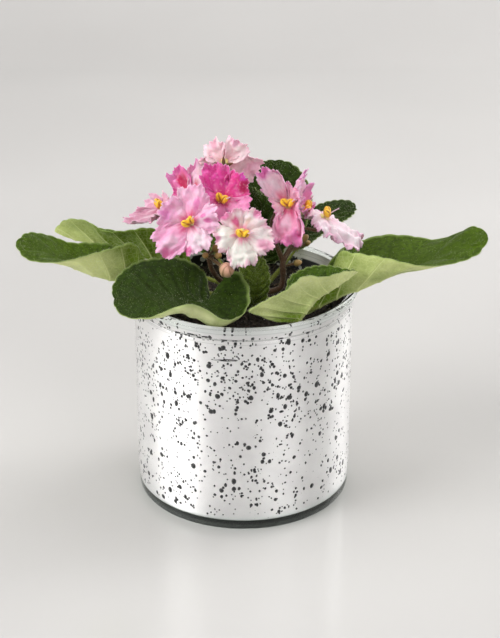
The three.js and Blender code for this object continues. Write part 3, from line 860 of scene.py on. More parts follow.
def flesh_inputs(n: Nodes, colour: object, scale: float, roughness: float) -> dict[str, object]:
    """A soft plant part's colour with a fine grain, a faint relief and a little sheen.

    Args:
        n: The material's nodes.
        colour: The part's colour.
        scale: The grain's scale.
        roughness: How rough it is.

    Returns:
        The shader's inputs by name.
    """
    place = n.place()
    grain = n.group(soft_grain(), {"Vector": place, "Scale": scale, "Depth": 0.5})
    return {
        "Base Color": n.toned(colour, grain.outputs["Tone"]),
        "Normal": n.bump(grain.outputs["Height"], 0.4, 0.0003),
        "Roughness": roughness,
        "Sheen Weight": 0.2,
    }


@dataclass(frozen=True)
class FleshFinish(Finish):
    """Stems, threads, hairs and the bare marks: one colour that drifts to a second, with a grain."""

    name: str
    colour: Colour
    second: Colour
    scale: float = 220.0
    roughness: float = 0.5

    def inputs(self, n: Nodes) -> dict[str, object]:
        """The shader's inputs, with both colours mixed by noise.

        Args:
            n: The material's nodes.

        Returns:
            The inputs by name.
        """
        patch = n.ramp(n.noise(n.place(), self.scale * 0.6), 0.35, 0.65)
        colour = n.mix(patch, screen(self.colour), screen(self.second))
        return flesh_inputs(n, colour, self.scale, self.roughness)


@dataclass(frozen=True)
class PaintedFinish(Finish):
    """Stalks, buds, sepals and pollen sacs: the piece's own paint with a fine grain."""

    name: str

    def inputs(self, n: Nodes) -> dict[str, object]:
        """The shader's inputs from the paint on the piece."""
        return flesh_inputs(n, n.value("paint", "Color"), 300.0, 0.5)


@dataclass(frozen=True)
class GlassFinish(Finish):
    """Clear glass, green and wavy only where it is thick, that lets light through to what it covers."""

    name: str = "Green-tinted glass"
    clear: Colour = (253, 253, 252)
    thick: Colour = (222, 242, 232)

    def inputs(self, n: Nodes) -> dict[str, object]:
        """The shader's inputs from how green each point is.

        Args:
            n: The material's nodes.

        Returns:
            The inputs by name.
        """
        tint = n.value("tint")
        place = n.place()
        stretched = n.add("ShaderNodeMapping", {"Vector": place, "Scale": (1.0, 1.0, 0.35)})
        waves = n.noise(stretched.outputs[0], 60.0, 1.0)
        passing = n.add("ShaderNodeLightPath").outputs["Is Shadow Ray"]
        return {
            "Base Color": n.mix(tint, screen(self.clear), screen(self.thick)),
            "Normal": n.bump(waves, n.ramp(tint, 0.5, 1.0, 0.12, 0.9), 0.001),
            "Alpha": n.less(1.0, n.product(passing, 0.85)),
            "Roughness": 0.015,
            "IOR": 1.48,
            "Specular Tint": (0.4, 0.41, 0.41, 1.0),
            "Transmission Weight": 1.0,
        }


@dataclass(frozen=True)
class SilverFinish(Finish):
    """The silver coating: a bright satin mirror with pinholes, and dark inside, with pale flecks painted as
    light shining through it.

    Pinholes are (scale, size, share), and the thin dark lines painted round the shoulder and lip,
    as shade where the glass's groove and rim bend the light, are (height, half width, strength),
    with heights in metres.
    """

    name: str = "Speckled silver"
    silver: tuple[Colour, Colour] = ((238, 236, 236), (250, 249, 248))
    bare: Colour = (52, 53, 52)
    inside: Colour = (20, 21, 21)
    # The pale flecks painted on the inner face as light shining through the pinholes.
    pinhole_light: Colour = (206, 208, 206)
    # The colour of the painted shade lines round the shoulder and lip.
    line: Colour = (120, 124, 120)
    pinholes: tuple[tuple[float, float, float], ...] = ((420.0, 0.13, 0.5), (800.0, 0.17, 0.4))
    lines: tuple[tuple[float, float, float], ...] = (
        (0.1024, 0.0005, 0.5),
        (0.0999, 0.0003, 0.25),
        (0.1066, 0.0003, 0.3),
    )

    def specks(
        self,
        n: Nodes,
        flat: object,
        scale: float,
        size: float,
        share: object,
    ) -> Socket:
        """Where the shared speck field has a speck."""
        inputs = {"Vector": flat, "Scale": scale, "Size": size, "Share": share}
        return n.group(speck_field(), inputs).outputs["Mask"]

    def inputs(self, n: Nodes) -> dict[str, object]:
        """The shader's inputs from two sizes of pinhole and soft clouds.

        Args:
            n: The material's nodes.

        Returns:
            The inputs by name.
        """
        flat, place = n.coordinates("UV"), n.place()
        patches = n.ramp(n.noise(place, 42.0, 2.0), 0.38, 0.62, 0.1, 1.0)
        marks: object = 0.0
        for scale, size, share in self.pinholes:
            field = self.specks(n, flat, scale, size, n.product(patches, share))
            marks = n.math("MAXIMUM", marks, field)
        cloud = n.ramp(n.noise(place, 48.0, 4.0, 0.6), 0.3, 0.7)
        silver = n.mix(cloud, *(screen(tone) for tone in self.silver))
        outside = n.mix(marks, silver, screen(self.bare))
        height = n.part(flat, 1)
        # Painted shade: thin darker lines round the shoulder and lip, where the glass's groove and rim bend
        # the light.
        for level, width, strength in self.lines:
            off = n.math("ABSOLUTE", n.less(height, level))
            outside = n.mix(n.ramp(off, 0.0, width, strength, 0.0), outside, screen(self.line))
        # Painted light: pale flecks on the dark inner face where light shines through the pinholes.
        lit_pinholes = self.specks(n, flat, 380.0, 0.6, 1.0)
        backing = n.mix(lit_pinholes, screen(self.inside), screen(self.pinhole_light))
        backing = n.mix(n.ramp(height, 0.1045, 0.1052), backing, outside)
        inner = n.value("inner")
        metal = n.product(n.less(1.0, inner), n.less(1.0, marks))
        return {
            "Base Color": n.mix(inner, outside, backing),
            "Metallic": n.product(metal, 0.55),
            "Roughness": n.ramp(cloud, 0.0, 1.0, 0.46, 0.5),
            "Anisotropic": 0.9,
            "Anisotropic Rotation": 0.25,
            "Tangent": n.add("ShaderNodeTangent", direction_type="RADIAL", axis="Z").outputs[0],
        }


@dataclass(frozen=True)
class SoilFinish(Finish):
    """Dark moist potting mix."""

    name: str = "Potting mix"
    dark: Colour = (14, 10, 7)
    light: Colour = (54, 42, 30)

    def inputs(self, n: Nodes) -> dict[str, object]:
        """The shader's inputs from crumbs of two sizes.

        Args:
            n: The material's nodes.

        Returns:
            The inputs by name.
        """
        place = n.place()
        crumbs = n.add("ShaderNodeTexVoronoi", {"Vector": place, "Scale": 900.0}).outputs["Distance"]
        shade = n.ramp(n.product(n.noise(place, 420.0, 6.0, 0.7), crumbs), 0.05, 0.4)
        return {
            "Base Color": n.mix(shade, screen(self.dark), screen(self.light)),
            "Normal": n.bump(crumbs, 0.9, 0.0008),
            "Roughness": 0.85,
        }


def settle(piece: bpy.types.Object, slot: str, *nodes: str) -> bpy.types.Object:
    """Lets a finished piece ride on the plant's one body and stand for its CAD nodes.

    Args:
        piece: The finished object.
        slot: The record's material slot; not used.
        nodes: The CAD nodes that it replaces.

    Returns:
        The piece.
    """
    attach(piece, "root")
    if nodes:
        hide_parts(*nodes)
    return piece


@dataclass
class GlassVase:
    """The glass vase with its silver coating and the dark marks in it.

    A placed mark is its turn in degrees, its height, its size, and its stretch up and across.
    """

    radius: float = 53.5
    height: float = 110.0
    wall: float = 3.5
    base: float = 4.8
    foot_round: float = 3.4
    foot_inset: float = 0.6
    flare: float = 2.7
    lip_width: float = 4.2
    lip_rise: float = 1.3
    shoulder_drop: float = 7.5
    groove: float = 0.35
    inner_corner: float = 1.6
    segments: int = 150
    silver_top: float = 108.7
    silver_sink: float = 0.04
    silver_depth: float = 0.08
    seed: int = 23
    scattered_marks: int = 6200
    clustered_marks: int = 420
    shoulder_marks: int = 90
    lowest_mark: float = 7.5
    mark_rim: float = 0.035
    mark_faces: tuple[float, float] = (0.02, 0.055)
    placed_marks: tuple[tuple[float, float, float, float, float], ...] = (
        (-76.0, 37.5, 0.85, 1.4, 1.0), (-100.5, 91.8, 0.5, 0.9, 13.0), (-97.0, 92.3, 0.45, 0.8, 8.0),
        (-71.5, 72.4, 1.0, 1.5, 1.0), (-65.0, 70.4, 1.25, 1.1, 1.1), (-67.4, 65.9, 0.95, 1.6, 1.0),
        (-69.5, 63.6, 0.7, 1.0, 1.6), (-93.3, 48.2, 0.75, 1.6, 1.0), (-130.0, 10.6, 0.7, 2.6, 1.0),
        (-130.6, 9.2, 1.0, 1.0, 1.0), (-109.0, 80.5, 0.95, 1.0, 1.1), (-101.5, 74.0, 0.85, 1.1, 1.0),
        (-94.0, 66.0, 0.8, 1.1, 1.0), (-76.5, 62.5, 0.75, 1.0, 1.0), (-147.0, 60.0, 0.8, 1.7, 1.1),
        (-94.0, 81.3, 0.8, 1.0, 1.0), (-87.0, 72.3, 0.75, 1.1, 1.0), (-103.5, 34.5, 0.85, 1.0, 1.0),
        (-72.0, 20.5, 0.7, 1.3, 1.2), (-86.0, 14.0, 0.8, 1.2, 1.0), (-100.0, 103.6, 0.5, 1.0, 4.5),
        (-95.5, 103.2, 0.6, 1.1, 3.0), (-91.5, 103.5, 0.6, 1.2, 2.2), (-88.2, 103.4, 0.5, 1.7, 1.2),
        (-85.4, 103.6, 0.6, 1.4, 1.4), (-80.0, 103.6, 0.4, 1.2, 1.6), (-73.0, 103.9, 0.5, 1.2, 2.0),
        (-127.0, 102.5, 0.8, 1.6, 1.4), (-124.6, 101.0, 0.7, 1.8, 1.2), (-121.6, 99.0, 0.6, 1.6, 1.0),
    )

    def inner_radius(self, z: Array) -> Array:
        """The glass's inner face at a height: straight, and flaring from the shoulder to the lip."""
        inner = self.radius - self.wall
        widening = self.radius + self.flare - self.lip_width - inner
        return inner + widening * ease(z, self.height - self.shoulder_drop, self.height - self.lip_rise)

    def lip(self, degrees: object, sink: float = 0.0) -> Array:
        """Points of the lip's half round, or of one a little smaller, by their angles."""
        half, turn = self.lip_width / 2, np.radians(degrees)
        radii = self.radius + self.flare - half + (half - sink) * np.cos(turn)
        return pairs(radii, self.height - self.lip_rise + (self.lip_rise - sink) * np.sin(turn))

    def outer_section(self) -> Array:
        """From the middle of the sole over the round foot, the wall and the shoulder to the lip.

        Returns:
            Points of radius and height.
        """
        outer, round_off = self.radius, self.foot_round
        foot_radius, shoulder = outer - self.foot_inset, self.height - self.shoulder_drop
        sole = pairs(np.linspace(4, foot_radius - round_off - 3, 10), 0.0)
        turn = np.radians(np.linspace(-90, 0, 14))
        foot = pairs(foot_radius - round_off * (1 - np.cos(turn)), round_off * (1 + np.sin(turn)))
        z = np.arange(4.0, shoulder - 2, 1.5)
        wall = pairs(outer - self.foot_inset * (1 - ease(z, round_off, 16.0)), z)
        z = np.arange(shoulder - 2, shoulder + 1.4, 0.25)
        dent = pairs(outer - self.groove * np.exp(-(((z - shoulder) / 0.5) ** 2)), z)
        z = np.linspace(shoulder + 1.6, self.height - 2.6, 6)
        flare = pairs(outer + self.flare * 0.94 * ease(z, shoulder - 1.5, self.height - 0.8), z)
        return np.vstack([pairs(0, 0), sole, foot, wall, dent, flare, self.lip(np.linspace(-20, 180, 17))])

    def inner_section(self) -> Array:
        """From the lip down the throat and the wall, and round the inner corner to the floor's middle.

        Returns:
            Points of radius and height.
        """
        inner, corner = self.radius - self.wall, self.inner_corner
        shoulder = self.height - self.shoulder_drop
        z = np.arange(self.height - 2, shoulder - 1, -0.6)
        throat = pairs(self.inner_radius(z), z)
        drop = pairs(inner, np.arange(shoulder - 3, self.base + corner, -2.5))
        turn = np.radians(np.linspace(0, 90, 10))
        well = pairs(inner - corner + corner * np.cos(turn), self.base + corner - corner * np.sin(turn))
        floor = pairs(np.linspace(inner - corner - 4, 4, 10), self.base)
        return np.vstack([throat, drop, well, floor, pairs(0, self.base)])

    def tint(self, profile: Array) -> Array:
        """How green each point of the section looks: full in the foot, some in the lip, none between."""
        z = profile[:, 1]
        return np.maximum(1 - ease(z, 5.0, 8.0), ease(z, self.height - 4.5, self.height - 2.0) * 0.45)

    def coat_radius(self, z: Array) -> Array:
        """The coating's radius at a height: it lies a hair into the glass, so no air gap shows."""
        return self.inner_radius(z) + self.silver_sink

    def silver_profile(self) -> tuple[Array, Array]:
        """The coating's section and, for each point, whether it is its inner face."""
        inner = self.radius - self.wall + self.silver_sink
        base = self.base - self.silver_sink
        corner = self.inner_corner
        turn = np.linspace(0, np.pi / 2, 9)
        bend = pairs(inner - corner + corner * np.sin(turn), base + corner - corner * np.cos(turn))
        low, high = np.arange(base + corner + 2, 100, 2.5), np.linspace(100, self.silver_top, 14)
        z = np.concatenate([low, high])
        over = self.lip([170, 160], self.silver_sink)
        outside = np.vstack([pairs([0, inner * 0.5], base), bend, pairs(self.coat_radius(z), z), over])
        inside = outside[::-1] - np.array([self.silver_depth, 0.0])
        inside[:, 1] = np.maximum(inside[:, 1], base + self.silver_depth)
        inside[-1, 0] = 0.0
        return np.vstack([outside, inside]), np.repeat([0.0, 1.0], len(outside))

    def density(self, turn: Array, z: Array) -> Array:
        """Where marks gather: in broad waves, more high up, and most on the front's upper half.

        Args:
            turn: Directions from the axis.
            z: Heights.

        Returns:
            The share of marks kept.
        """
        waves = np.sin(2 * turn + 0.6) + np.sin(5 * turn + z / 9.0)
        waves = waves + np.sin(3 * turn - z / 14.0 + 2) + np.sin(z / 11.0 + 1.0)
        crowd = np.exp(-(((turn + 1.35) / 0.5) ** 2) - ((z - 86) / 19) ** 2)
        return np.clip(0.46 + 0.09 * waves + 0.0016 * (z - 55) + 0.42 * crowd, 0.05, 1.0)

    def draw_scattered(self, rng: Chance) -> Array:
        """Marks scattered by density, and more beside some of them: turn, height, size, stretches.

        Args:
            rng: Seeded chance.

        Returns:
            The marks' turns, heights, sizes and stretches up and across.
        """
        number, more = self.scattered_marks, self.clustered_marks
        turn = rng.uniform(-np.pi, np.pi, number)
        z = rng.uniform(self.lowest_mark, self.silver_top - 1.5, number)
        kept = rng.uniform(0, 1, number) < self.density(turn, z)
        turn, z = turn[kept], z[kept]
        size = np.clip(0.31 * np.exp(rng.exponential(0.38, len(turn))), 0.31, 1.2)
        parents = rng.integers(0, len(turn), more)
        turn = np.concatenate([turn, turn[parents] + rng.normal(0, 1.5, more) / self.radius])
        z = np.concatenate([z, z[parents] + rng.normal(0, 1.5, more)])
        z = np.clip(z, self.lowest_mark, self.silver_top - 1.0)
        size = np.concatenate([size, rng.uniform(0.3, 0.8, more)])
        return np.stack([turn, z, size, 1 + rng.exponential(0.16, len(size)), np.ones(len(size))])

    def draw_shoulder(self, rng: Chance) -> Array:
        """Long flat marks along the shoulder: turn, height, size, stretches.

        Args:
            rng: Seeded chance.

        Returns:
            The marks' turns, heights, sizes and stretches up and across.
        """
        number = self.shoulder_marks
        turn = rng.uniform(-np.pi, np.pi, number)
        z = self.height - self.shoulder_drop + rng.normal(0.6, 0.8, number)
        size = rng.uniform(0.3, 0.7, number)
        return np.stack([turn, z, size, rng.uniform(0.7, 1.2, number), rng.uniform(1.2, 4.5, number)])

    def build_marks(self) -> None:
        """Makes the marks where the coating is missing.

        Each is a thin lens on the coating's outer face, whose outline is round with a two-fold and a
        three-fold wave. Most lie by chance, and the largest ones on the front have their own places.
        """
        rng = np.random.default_rng(self.seed)
        placed = np.array(self.placed_marks).T
        placed[0] = np.radians(placed[0])
        marks = np.hstack([self.draw_scattered(rng), self.draw_shoulder(rng), placed])
        turn, z, size, long, wide = marks[..., None]
        angle = circle(12)[None]
        wave = 1 + 0.06 * np.sin(2 * angle + rng.uniform(0, 6, size.shape))
        wave = wave + 0.04 * np.sin(3 * angle + rng.uniform(0, 6, size.shape))
        across, up = size * wave * np.cos(angle) * wide, size * wave * np.sin(angle) * long
        bare = FleshFinish("Bare marks", (10, 11, 10), (20, 21, 20), 500.0)
        settle(self.lay_marks(turn, z, across, up).build("silver_marks", bare.material()), "glass")

    def lay_marks(self, turn: Array, z: Array, across: Array, up: Array) -> Patchwork:
        """Lays outlines on the coating as thin closed lenses.

        Args:
            turn: Each mark's direction from the vase's axis, in a column.
            z: Each mark's height, in a column.
            across: The outline's distances round the wall, marks by corners.
            up: The outline's distances upwards.

        Returns:
            The mesh of all marks.
        """
        number, sides = across.shape
        rim_z = z + up
        rim_turn = turn + across / self.coat_radius(rim_z)
        turns = np.hstack([rim_turn, turn, turn])
        heights = np.hstack([rim_z, z, z])
        faces = self.coat_radius(z) + np.array([self.mark_faces])
        radii = np.hstack([self.coat_radius(rim_z) + self.mark_rim, faces])
        points = np.stack([radii * np.cos(turns), radii * np.sin(turns), heights], -1)
        j = np.arange(sides)
        after = (j + 1) % sides
        outer = np.stack([np.full(sides, sides + 1), j, after], -1)
        back = np.stack([np.full(sides, sides), after, j], -1)
        starts = np.arange(number)[:, None, None] * (sides + 2)
        work = Patchwork()
        work.add(points, triangles=(np.vstack([outer, back])[None] + starts).reshape(-1, 3))
        return work

    def build(self) -> None:
        """Makes the glass, its coating and the marks."""
        glass = Patchwork()
        profile = np.vstack([self.outer_section(), self.inner_section()])
        tint = self.tint(profile)
        tints = np.concatenate([np.repeat(tint[1:-1], self.segments), tint[[0, -1]]])
        add_turned(glass, profile, self.segments, np.zeros(3), tint=tints)
        settle(glass.build("glass_vase", GlassFinish().material()), "glass", "vase")
        self.build_silver()
        self.build_marks()

    def build_silver(self) -> None:
        """Makes the coating, whose surface coordinates are its turn and its height in metres."""
        coat = Patchwork()
        profile, inner = self.silver_profile()
        inners = np.concatenate([np.repeat(inner[1:-1], self.segments), [0.0, 1.0]])
        add_turned(coat, profile, self.segments, np.zeros(3), inner=inners)
        turn = (circle(self.segments) - np.pi) * 0.05
        uv = np.stack(np.broadcast_arrays(turn[None], profile[1:-1, 1:] * METRES), -1)
        coat.uvs[-1] = np.vstack([uv.reshape(-1, 2), [[0, 0], [0, 0]]])
        settle(coat.build("silver_coating", SilverFinish().material()), "glass")


@dataclass
class PottingMix:
    """The potting mix with its crumbs, white grains and root threads."""

    radius: float = 49.7
    hole: float = 6.8
    hole_base: float = 83.7
    top: float = 98.5
    base: float = 5.1
    seed: int = 11
    crumbs: int = 1500
    grains: int = 60
    threads: int = 46

    def height(self, turn: Array, share: Array) -> Array:
        """The crumbly top: two waves round the pot that fade towards the stem and the glass."""
        crumb = 0.9 * np.sin(5 * turn + 7 * share) + 0.6 * np.sin(11 * turn - 9 * share + 1)
        return self.top + 0.8 * (1 - share) + crumb * share * (1.25 - share)

    def place(self, turn: Array, share: Array) -> Array:
        """Points of the top by turn and share of the way from the stem to the glass.

        Args:
            turn: Directions from the stem.
            share: Shares of the way to the glass.

        Returns:
            The points.
        """
        centre = CROWN_CENTRE[:2] * (1 - share)[..., None]
        radius = self.hole + (self.radius - self.hole) * share
        flat = centre + np.stack([np.cos(turn), np.sin(turn)], -1) * radius[..., None]
        return np.concatenate([flat, self.height(turn, share)[..., None]], -1)

    def build(self) -> None:
        """Makes the mix as one closed body, and its loose grains and threads."""
        rng = np.random.default_rng(self.seed)
        share, turn = np.meshgrid(np.linspace(0, 1, 70), circle(260), indexing="ij")
        top = self.place(turn, share)
        lumps = rng.normal(size=top.shape[:2])
        smooth = (lumps + np.roll(lumps, 1, 1) + np.roll(lumps, -1, 1) + np.roll(lumps, 1, 0)) / 4
        top[..., 2] += smooth * 0.55 * (share * (1 - share) * 4) ** 0.5
        flat = top * np.array([1, 1, 0])
        floor_ring = flat[-1:] * 0.94 + UP * self.base
        low_ring = flat[-1:] + UP * (self.base + 3)
        rings = np.vstack([flat[:1] + UP * self.hole_base, top, low_ring, floor_ring])[::-1]
        rows, columns = rings.shape[:2]
        poles = np.array([[0, 0, self.base], [CROWN_CENTRE[0], 0, self.hole_base]])
        body = Patchwork()
        points = np.vstack([rings.reshape(-1, 3), poles])
        body.add(points, grid_quads(rows, columns, closed=True), cap_fans(rows, columns))
        dark = SoilFinish().material()
        settle(body.build("potting_mix", dark), "soil", "soil")
        self.scatter(rng, "mix_crumbs", self.crumbs, (0.5, 1.5), dark)
        white = FleshFinish("White grains", (226, 224, 214), (180, 176, 160))
        self.scatter(rng, "white_grains", self.grains, (0.4, 0.9), white.material())
        self.lay_threads(rng)

    def scatter(
        self,
        rng: Chance,
        name: str,
        number: int,
        sizes: tuple[float, float],
        material: Material,
    ) -> None:
        """Scatters rough grains over the top, each an eight-sided lump with uneven corners.

        Args:
            rng: Seeded chance.
            name: The piece's name.
            number: How many grains.
            sizes: Smallest and largest radius.
            material: Their finish.
        """
        share = np.sqrt(rng.uniform(0.06, 0.95, number))
        centres = self.place(rng.uniform(0, 2 * np.pi, number), share)
        corners = np.array([[1, 0, 0], [0, 1, 0], [-1, 0, 0], [0, -1, 0], [0, 0, 1], [0, 0, -1]], float)
        size = rng.uniform(*sizes, (number, 1, 1)) * rng.uniform(0.6, 1.2, (number, 6, 1))
        basis = np.linalg.qr(rng.normal(size=(number, 3, 3)))[0]
        points = centres[:, None] + (corners[None] * size) @ basis
        j = np.arange(4)
        after = (j + 1) % 4
        upper, lower = np.stack([j, after, j * 0 + 4], -1), np.stack([after, j, j * 0 + 5], -1)
        faces = np.vstack([upper, lower])
        flips = np.linalg.det(basis) < 0
        turned = np.where(flips[:, None, None], faces[None, :, ::-1], faces[None])
        grains = Patchwork()
        grains.add(points, triangles=(turned + np.arange(number)[:, None, None] * 6).reshape(-1, 3))
        settle(grains.build(name, material), "soil")

    def lay_threads(self, rng: Chance) -> None:
        """Lays fine pale root threads over the mix, each an arc that lifts a little in its middle.

        Args:
            rng: Seeded chance.
        """
        work = Patchwork()
        steps, reach = 9, self.radius - 1.3
        share = np.linspace(0, 1, steps)[:, None]
        for _ in range(self.threads):
            radius, turn, heading = rng.uniform(10, 45), *rng.uniform(0, 2 * np.pi, 2)
            start = np.array([radius * math.cos(turn), radius * math.sin(turn), self.top + 0.4])
            run = np.array([math.cos(heading), math.sin(heading), 0.0]) * rng.uniform(4, 11)
            side = np.cross(run, UP) * rng.uniform(-0.4, 0.4)
            path = start + run * share + (side + UP * rng.uniform(0.5, 2.2)) * (4 * share * (1 - share))
            path[:, :2] *= np.minimum(1.0, reach / np.linalg.norm(path[:, :2], axis=1, keepdims=True))
            add_tube(work, path, np.full(steps, rng.uniform(0.09, 0.2)), 5)
        finish = FleshFinish("Root threads", (120, 96, 70), (70, 52, 38))
        settle(work.build("root_threads", finish.material()), "soil")


@dataclass
class ShortStem:
    """The short thick stem in the middle of the rosette."""

    radius: float = 6.5
    low: float = 84.0
    high: float = CROWN_TOP
    segments: int = 48

    def build(self) -> None:
        """Turns the stem from its profile, rounded by cut corners, with five slow swells round it."""
        r, low, high = self.radius, self.low, self.high
        radii = [0, r - 1.5, r, r, r, r - 1.2, r - 4, 0]
        points = pairs(radii, [low, low, low + 1.5, high - 14, high - 6, high - 2.4, high, high])
        for _ in range(3):
            before, after = points[:-1], points[1:]
            cut = np.stack([before * 0.75 + after * 0.25, before * 0.25 + after * 0.75], 1)
            points = np.vstack([points[:1], cut.reshape(-1, 2), points[-1:]])
        swell = 1 - 0.05 * (1 + np.sin(5 * circle(self.segments)[None] + points[:, 1:2] * 1.3))
        work = Patchwork()
        add_turned(work, points, self.segments, CROWN_CENTRE, swell=swell)
        finish = FleshFinish("Short stem", (118, 124, 62), (92, 70, 44), 260.0)
        settle(work.build("short_stem", finish.material()), "crown", "crown")


@dataclass
class Leaf:
    """One leaf: its stalk, and the midrib and two margins that its blade hangs between."""

    name: str
    finish: LeafFinish
    soft: float
    stalk: Points
    midrib: Points
    near: Points
    far: Points
    rows: int = 150
    half_columns: int = 22
    thickness: float = 0.7
    teeth: int = 15
    tooth_depth: float = 0.9
    veins: float = 8.0
    quilt: float = 0.75
    stalk_radius: float = 1.7
    rib_radius: float = 0.35
    rib_reach: float = 0.12
    belly: tuple[float, float] = (0.0, 0.0)
    belly_peak: float = 12.2
    face_hairs: tuple[int, int] = (1000, 800)
    rim_hairs: int = 420
    stalk_hairs: int = 300

    def blade(self) -> tuple[Array, Array, Array]:
        """The blade's middle surface.

        Each row starts at the midrib, at the power 1.3 of the row's share, and ends on a margin.
        Between them the surface is middle + edge * share + bend * (share - share²), where bend
        leads both halves into each other. The rim has rounded teeth, |sin| of the row's share.

        Returns:
            The points, the share along and the signed share across.
        """
        base, tip = self.midrib[0], self.midrib[-1]
        middle_line = Line.through(self.midrib)
        margins = [Line.through([base, *side, tip]) for side in (self.near, self.far)]
        along = np.linspace(0.006, 0.994, self.rows)
        across = np.linspace(-1, 1, 2 * self.half_columns + 1)
        middle = middle_line.at(along**1.3)
        reach = [line.at(along) - middle for line in margins]
        half = (reach[1] - reach[0]) * 0.5
        rounded = np.abs(np.sin(np.pi * self.teeth * along)) ** 0.7 * self.tooth_depth
        rounded = rounded * ease(along, 0.0, 0.08)
        share = np.abs(across)[None, :, None]
        is_far = (across > 0)[None, :, None]
        plain = np.where(is_far, reach[1][:, None], reach[0][:, None])
        length = np.linalg.norm(plain, axis=-1, keepdims=True)
        tooth = rounded[:, None, None] * (length > 1) * ease(share, 0.8, 1.0)
        bend = (np.where(is_far, 1.0, -1.0) * half[:, None] - plain) * self.soft
        points = middle[:, None] + plain * share + unit(plain) * tooth + bend * (share - share**2)
        sag = np.where(is_far, self.belly[1], self.belly[0]) * self.belly_peak * share**4 * (1 - share)
        points[..., 2] -= sag[..., 0] * np.sin(np.pi * along)[:, None] ** 2
        return points, along, across

    def relief(self, along: Array, across: Array) -> tuple[Array, Array]:
        """How far the blade puffs up between its veins, and how strong the veins stand out below.

        Args:
            along: Shares along the blade.
            across: Signed shares across it.

        Returns:
            Both heights, rows by columns.
        """
        share = np.abs(across)[None, :]
        phase = (along[:, None] - 0.1 * share**1.2) * self.veins
        off = np.abs(phase - np.round(phase)) * 2
        calm = ease(along, 0.0, 0.1)[:, None] * (1 - ease(along, 0.9, 1.0))[:, None]
        puff = self.quilt * ease(off, 0.0, 0.7) * ease(share, 0.02, 0.35)
        puff = puff * (1 - ease(share, 0.75, 1.0)) * calm
        rib = np.exp(-((share * 16) ** 2)) * (1 - along[:, None])
        ridge = np.exp(-((off * 5) ** 2)) * (1 - share) * calm * 0.5 + rib * 1.1
        return puff - rib * 0.5, ridge

    def build(self, down: Down) -> None:
        """Makes the leaf, and adds its hairs to the plant's.

        Args:
            down: The plant's hairs.
        """
        points, along, across = self.blade()
        sign = facing_sign(points, UP)
        puff, ridge = self.relief(along, across)
        uv = np.stack(np.broadcast_arrays(along[:, None], 0.5 + 0.5 * across[None, :]), -1)
        thin = 1 - 0.55 * ease(np.abs(across), 0.7, 1.0)[None, :]
        work = Patchwork()
        over = self.thickness * 0.5 * thin + puff
        under = self.thickness * 0.5 * thin + ridge * 0.8 - puff
        upper, normals = add_sheet(work, points, sign, over, under, uv, stem=0.0)
        base_share = Line.through(self.midrib).at(np.array([self.rib_reach]))[0]
        rib = Line.through([*self.stalk, self.midrib[0], base_share])
        path = rib.at(np.linspace(0, 1, 60))
        radii = np.linspace(self.stalk_radius, self.rib_radius, len(path))
        start = crown_exit(path)
        rings, out = add_tube(work, path[start:], radii[start:], 14, upper=0.0, stem=1.0)
        settle(work.build(self.name.replace("leaf_", "blade_"), self.finish.material()), "leaf", self.name)
        self.add_hairs(down, upper, normals, points - normals * under[..., None], rings, out)

    def add_hairs(
        self,
        down: Down,
        upper: Array,
        normals: Array,
        lower: Array,
        rings: Array,
        out: Array,
    ) -> None:
        """Spreads fine hairs over both faces, round the rim and along the stalk.

        Args:
            down: The plant's hairs.
            upper: The upper face's points.
            normals: The normals towards it.
            lower: The under face's points.
            rings: The stalk's rings.
            out: The stalk's outward directions.
        """
        rng = down.rng
        rows, columns = upper.shape[:2]
        for face, out_sign, number in zip((upper, lower), (1.0, -1.0), self.face_hairs):
            i, j = rng.integers(3, rows - 3, number), rng.integers(1, columns - 1, number)
            down.add(face[i, j], normals[i, j] * out_sign, 0.35, (0.5, 1.0))
        for column, step in ((0, 1), (columns - 1, -1)):
            i = rng.integers(4, rows - 2, self.rim_hairs)
            outward = unit(upper[i, column] - upper[i, column + step])
            roots = (upper[i, column] + lower[i, column]) / 2
            down.add(roots, outward, 0.35, (0.5, 1.1))
        i = rng.integers(2, len(rings) - 2, self.stalk_hairs)
        j = rng.integers(0, rings.shape[1], self.stalk_hairs)
        down.add(rings[i, j], out[i, j], 0.3, (0.6, 1.2), 0.04)


@dataclass(frozen=True)
class Palette:
    """A bloom's colours in screen values.

    Tones are the five petals' own colours, clockwise from the top. A patch is a soft blotch: its
    petal, its ring, its place across the petal, its size and its colour.
    """

    tones: tuple[Colour, ...]
    throat: Colour = (248, 226, 150)
    ring: Colour = (206, 46, 112)
    rim: Colour = (222, 100, 168)
    pale: Colour = (253, 228, 238)
    clouds: float = 0.45
    # How strong the dark eye is: the bloom's own darker colour, also standing in for the shade in the
    # throat.
    ring_strength: float = 0.8
    veins: float = 0.3
    rim_strength: float = 0.7
    patches: tuple[tuple[int, float, float, float, Colour], ...] = ()


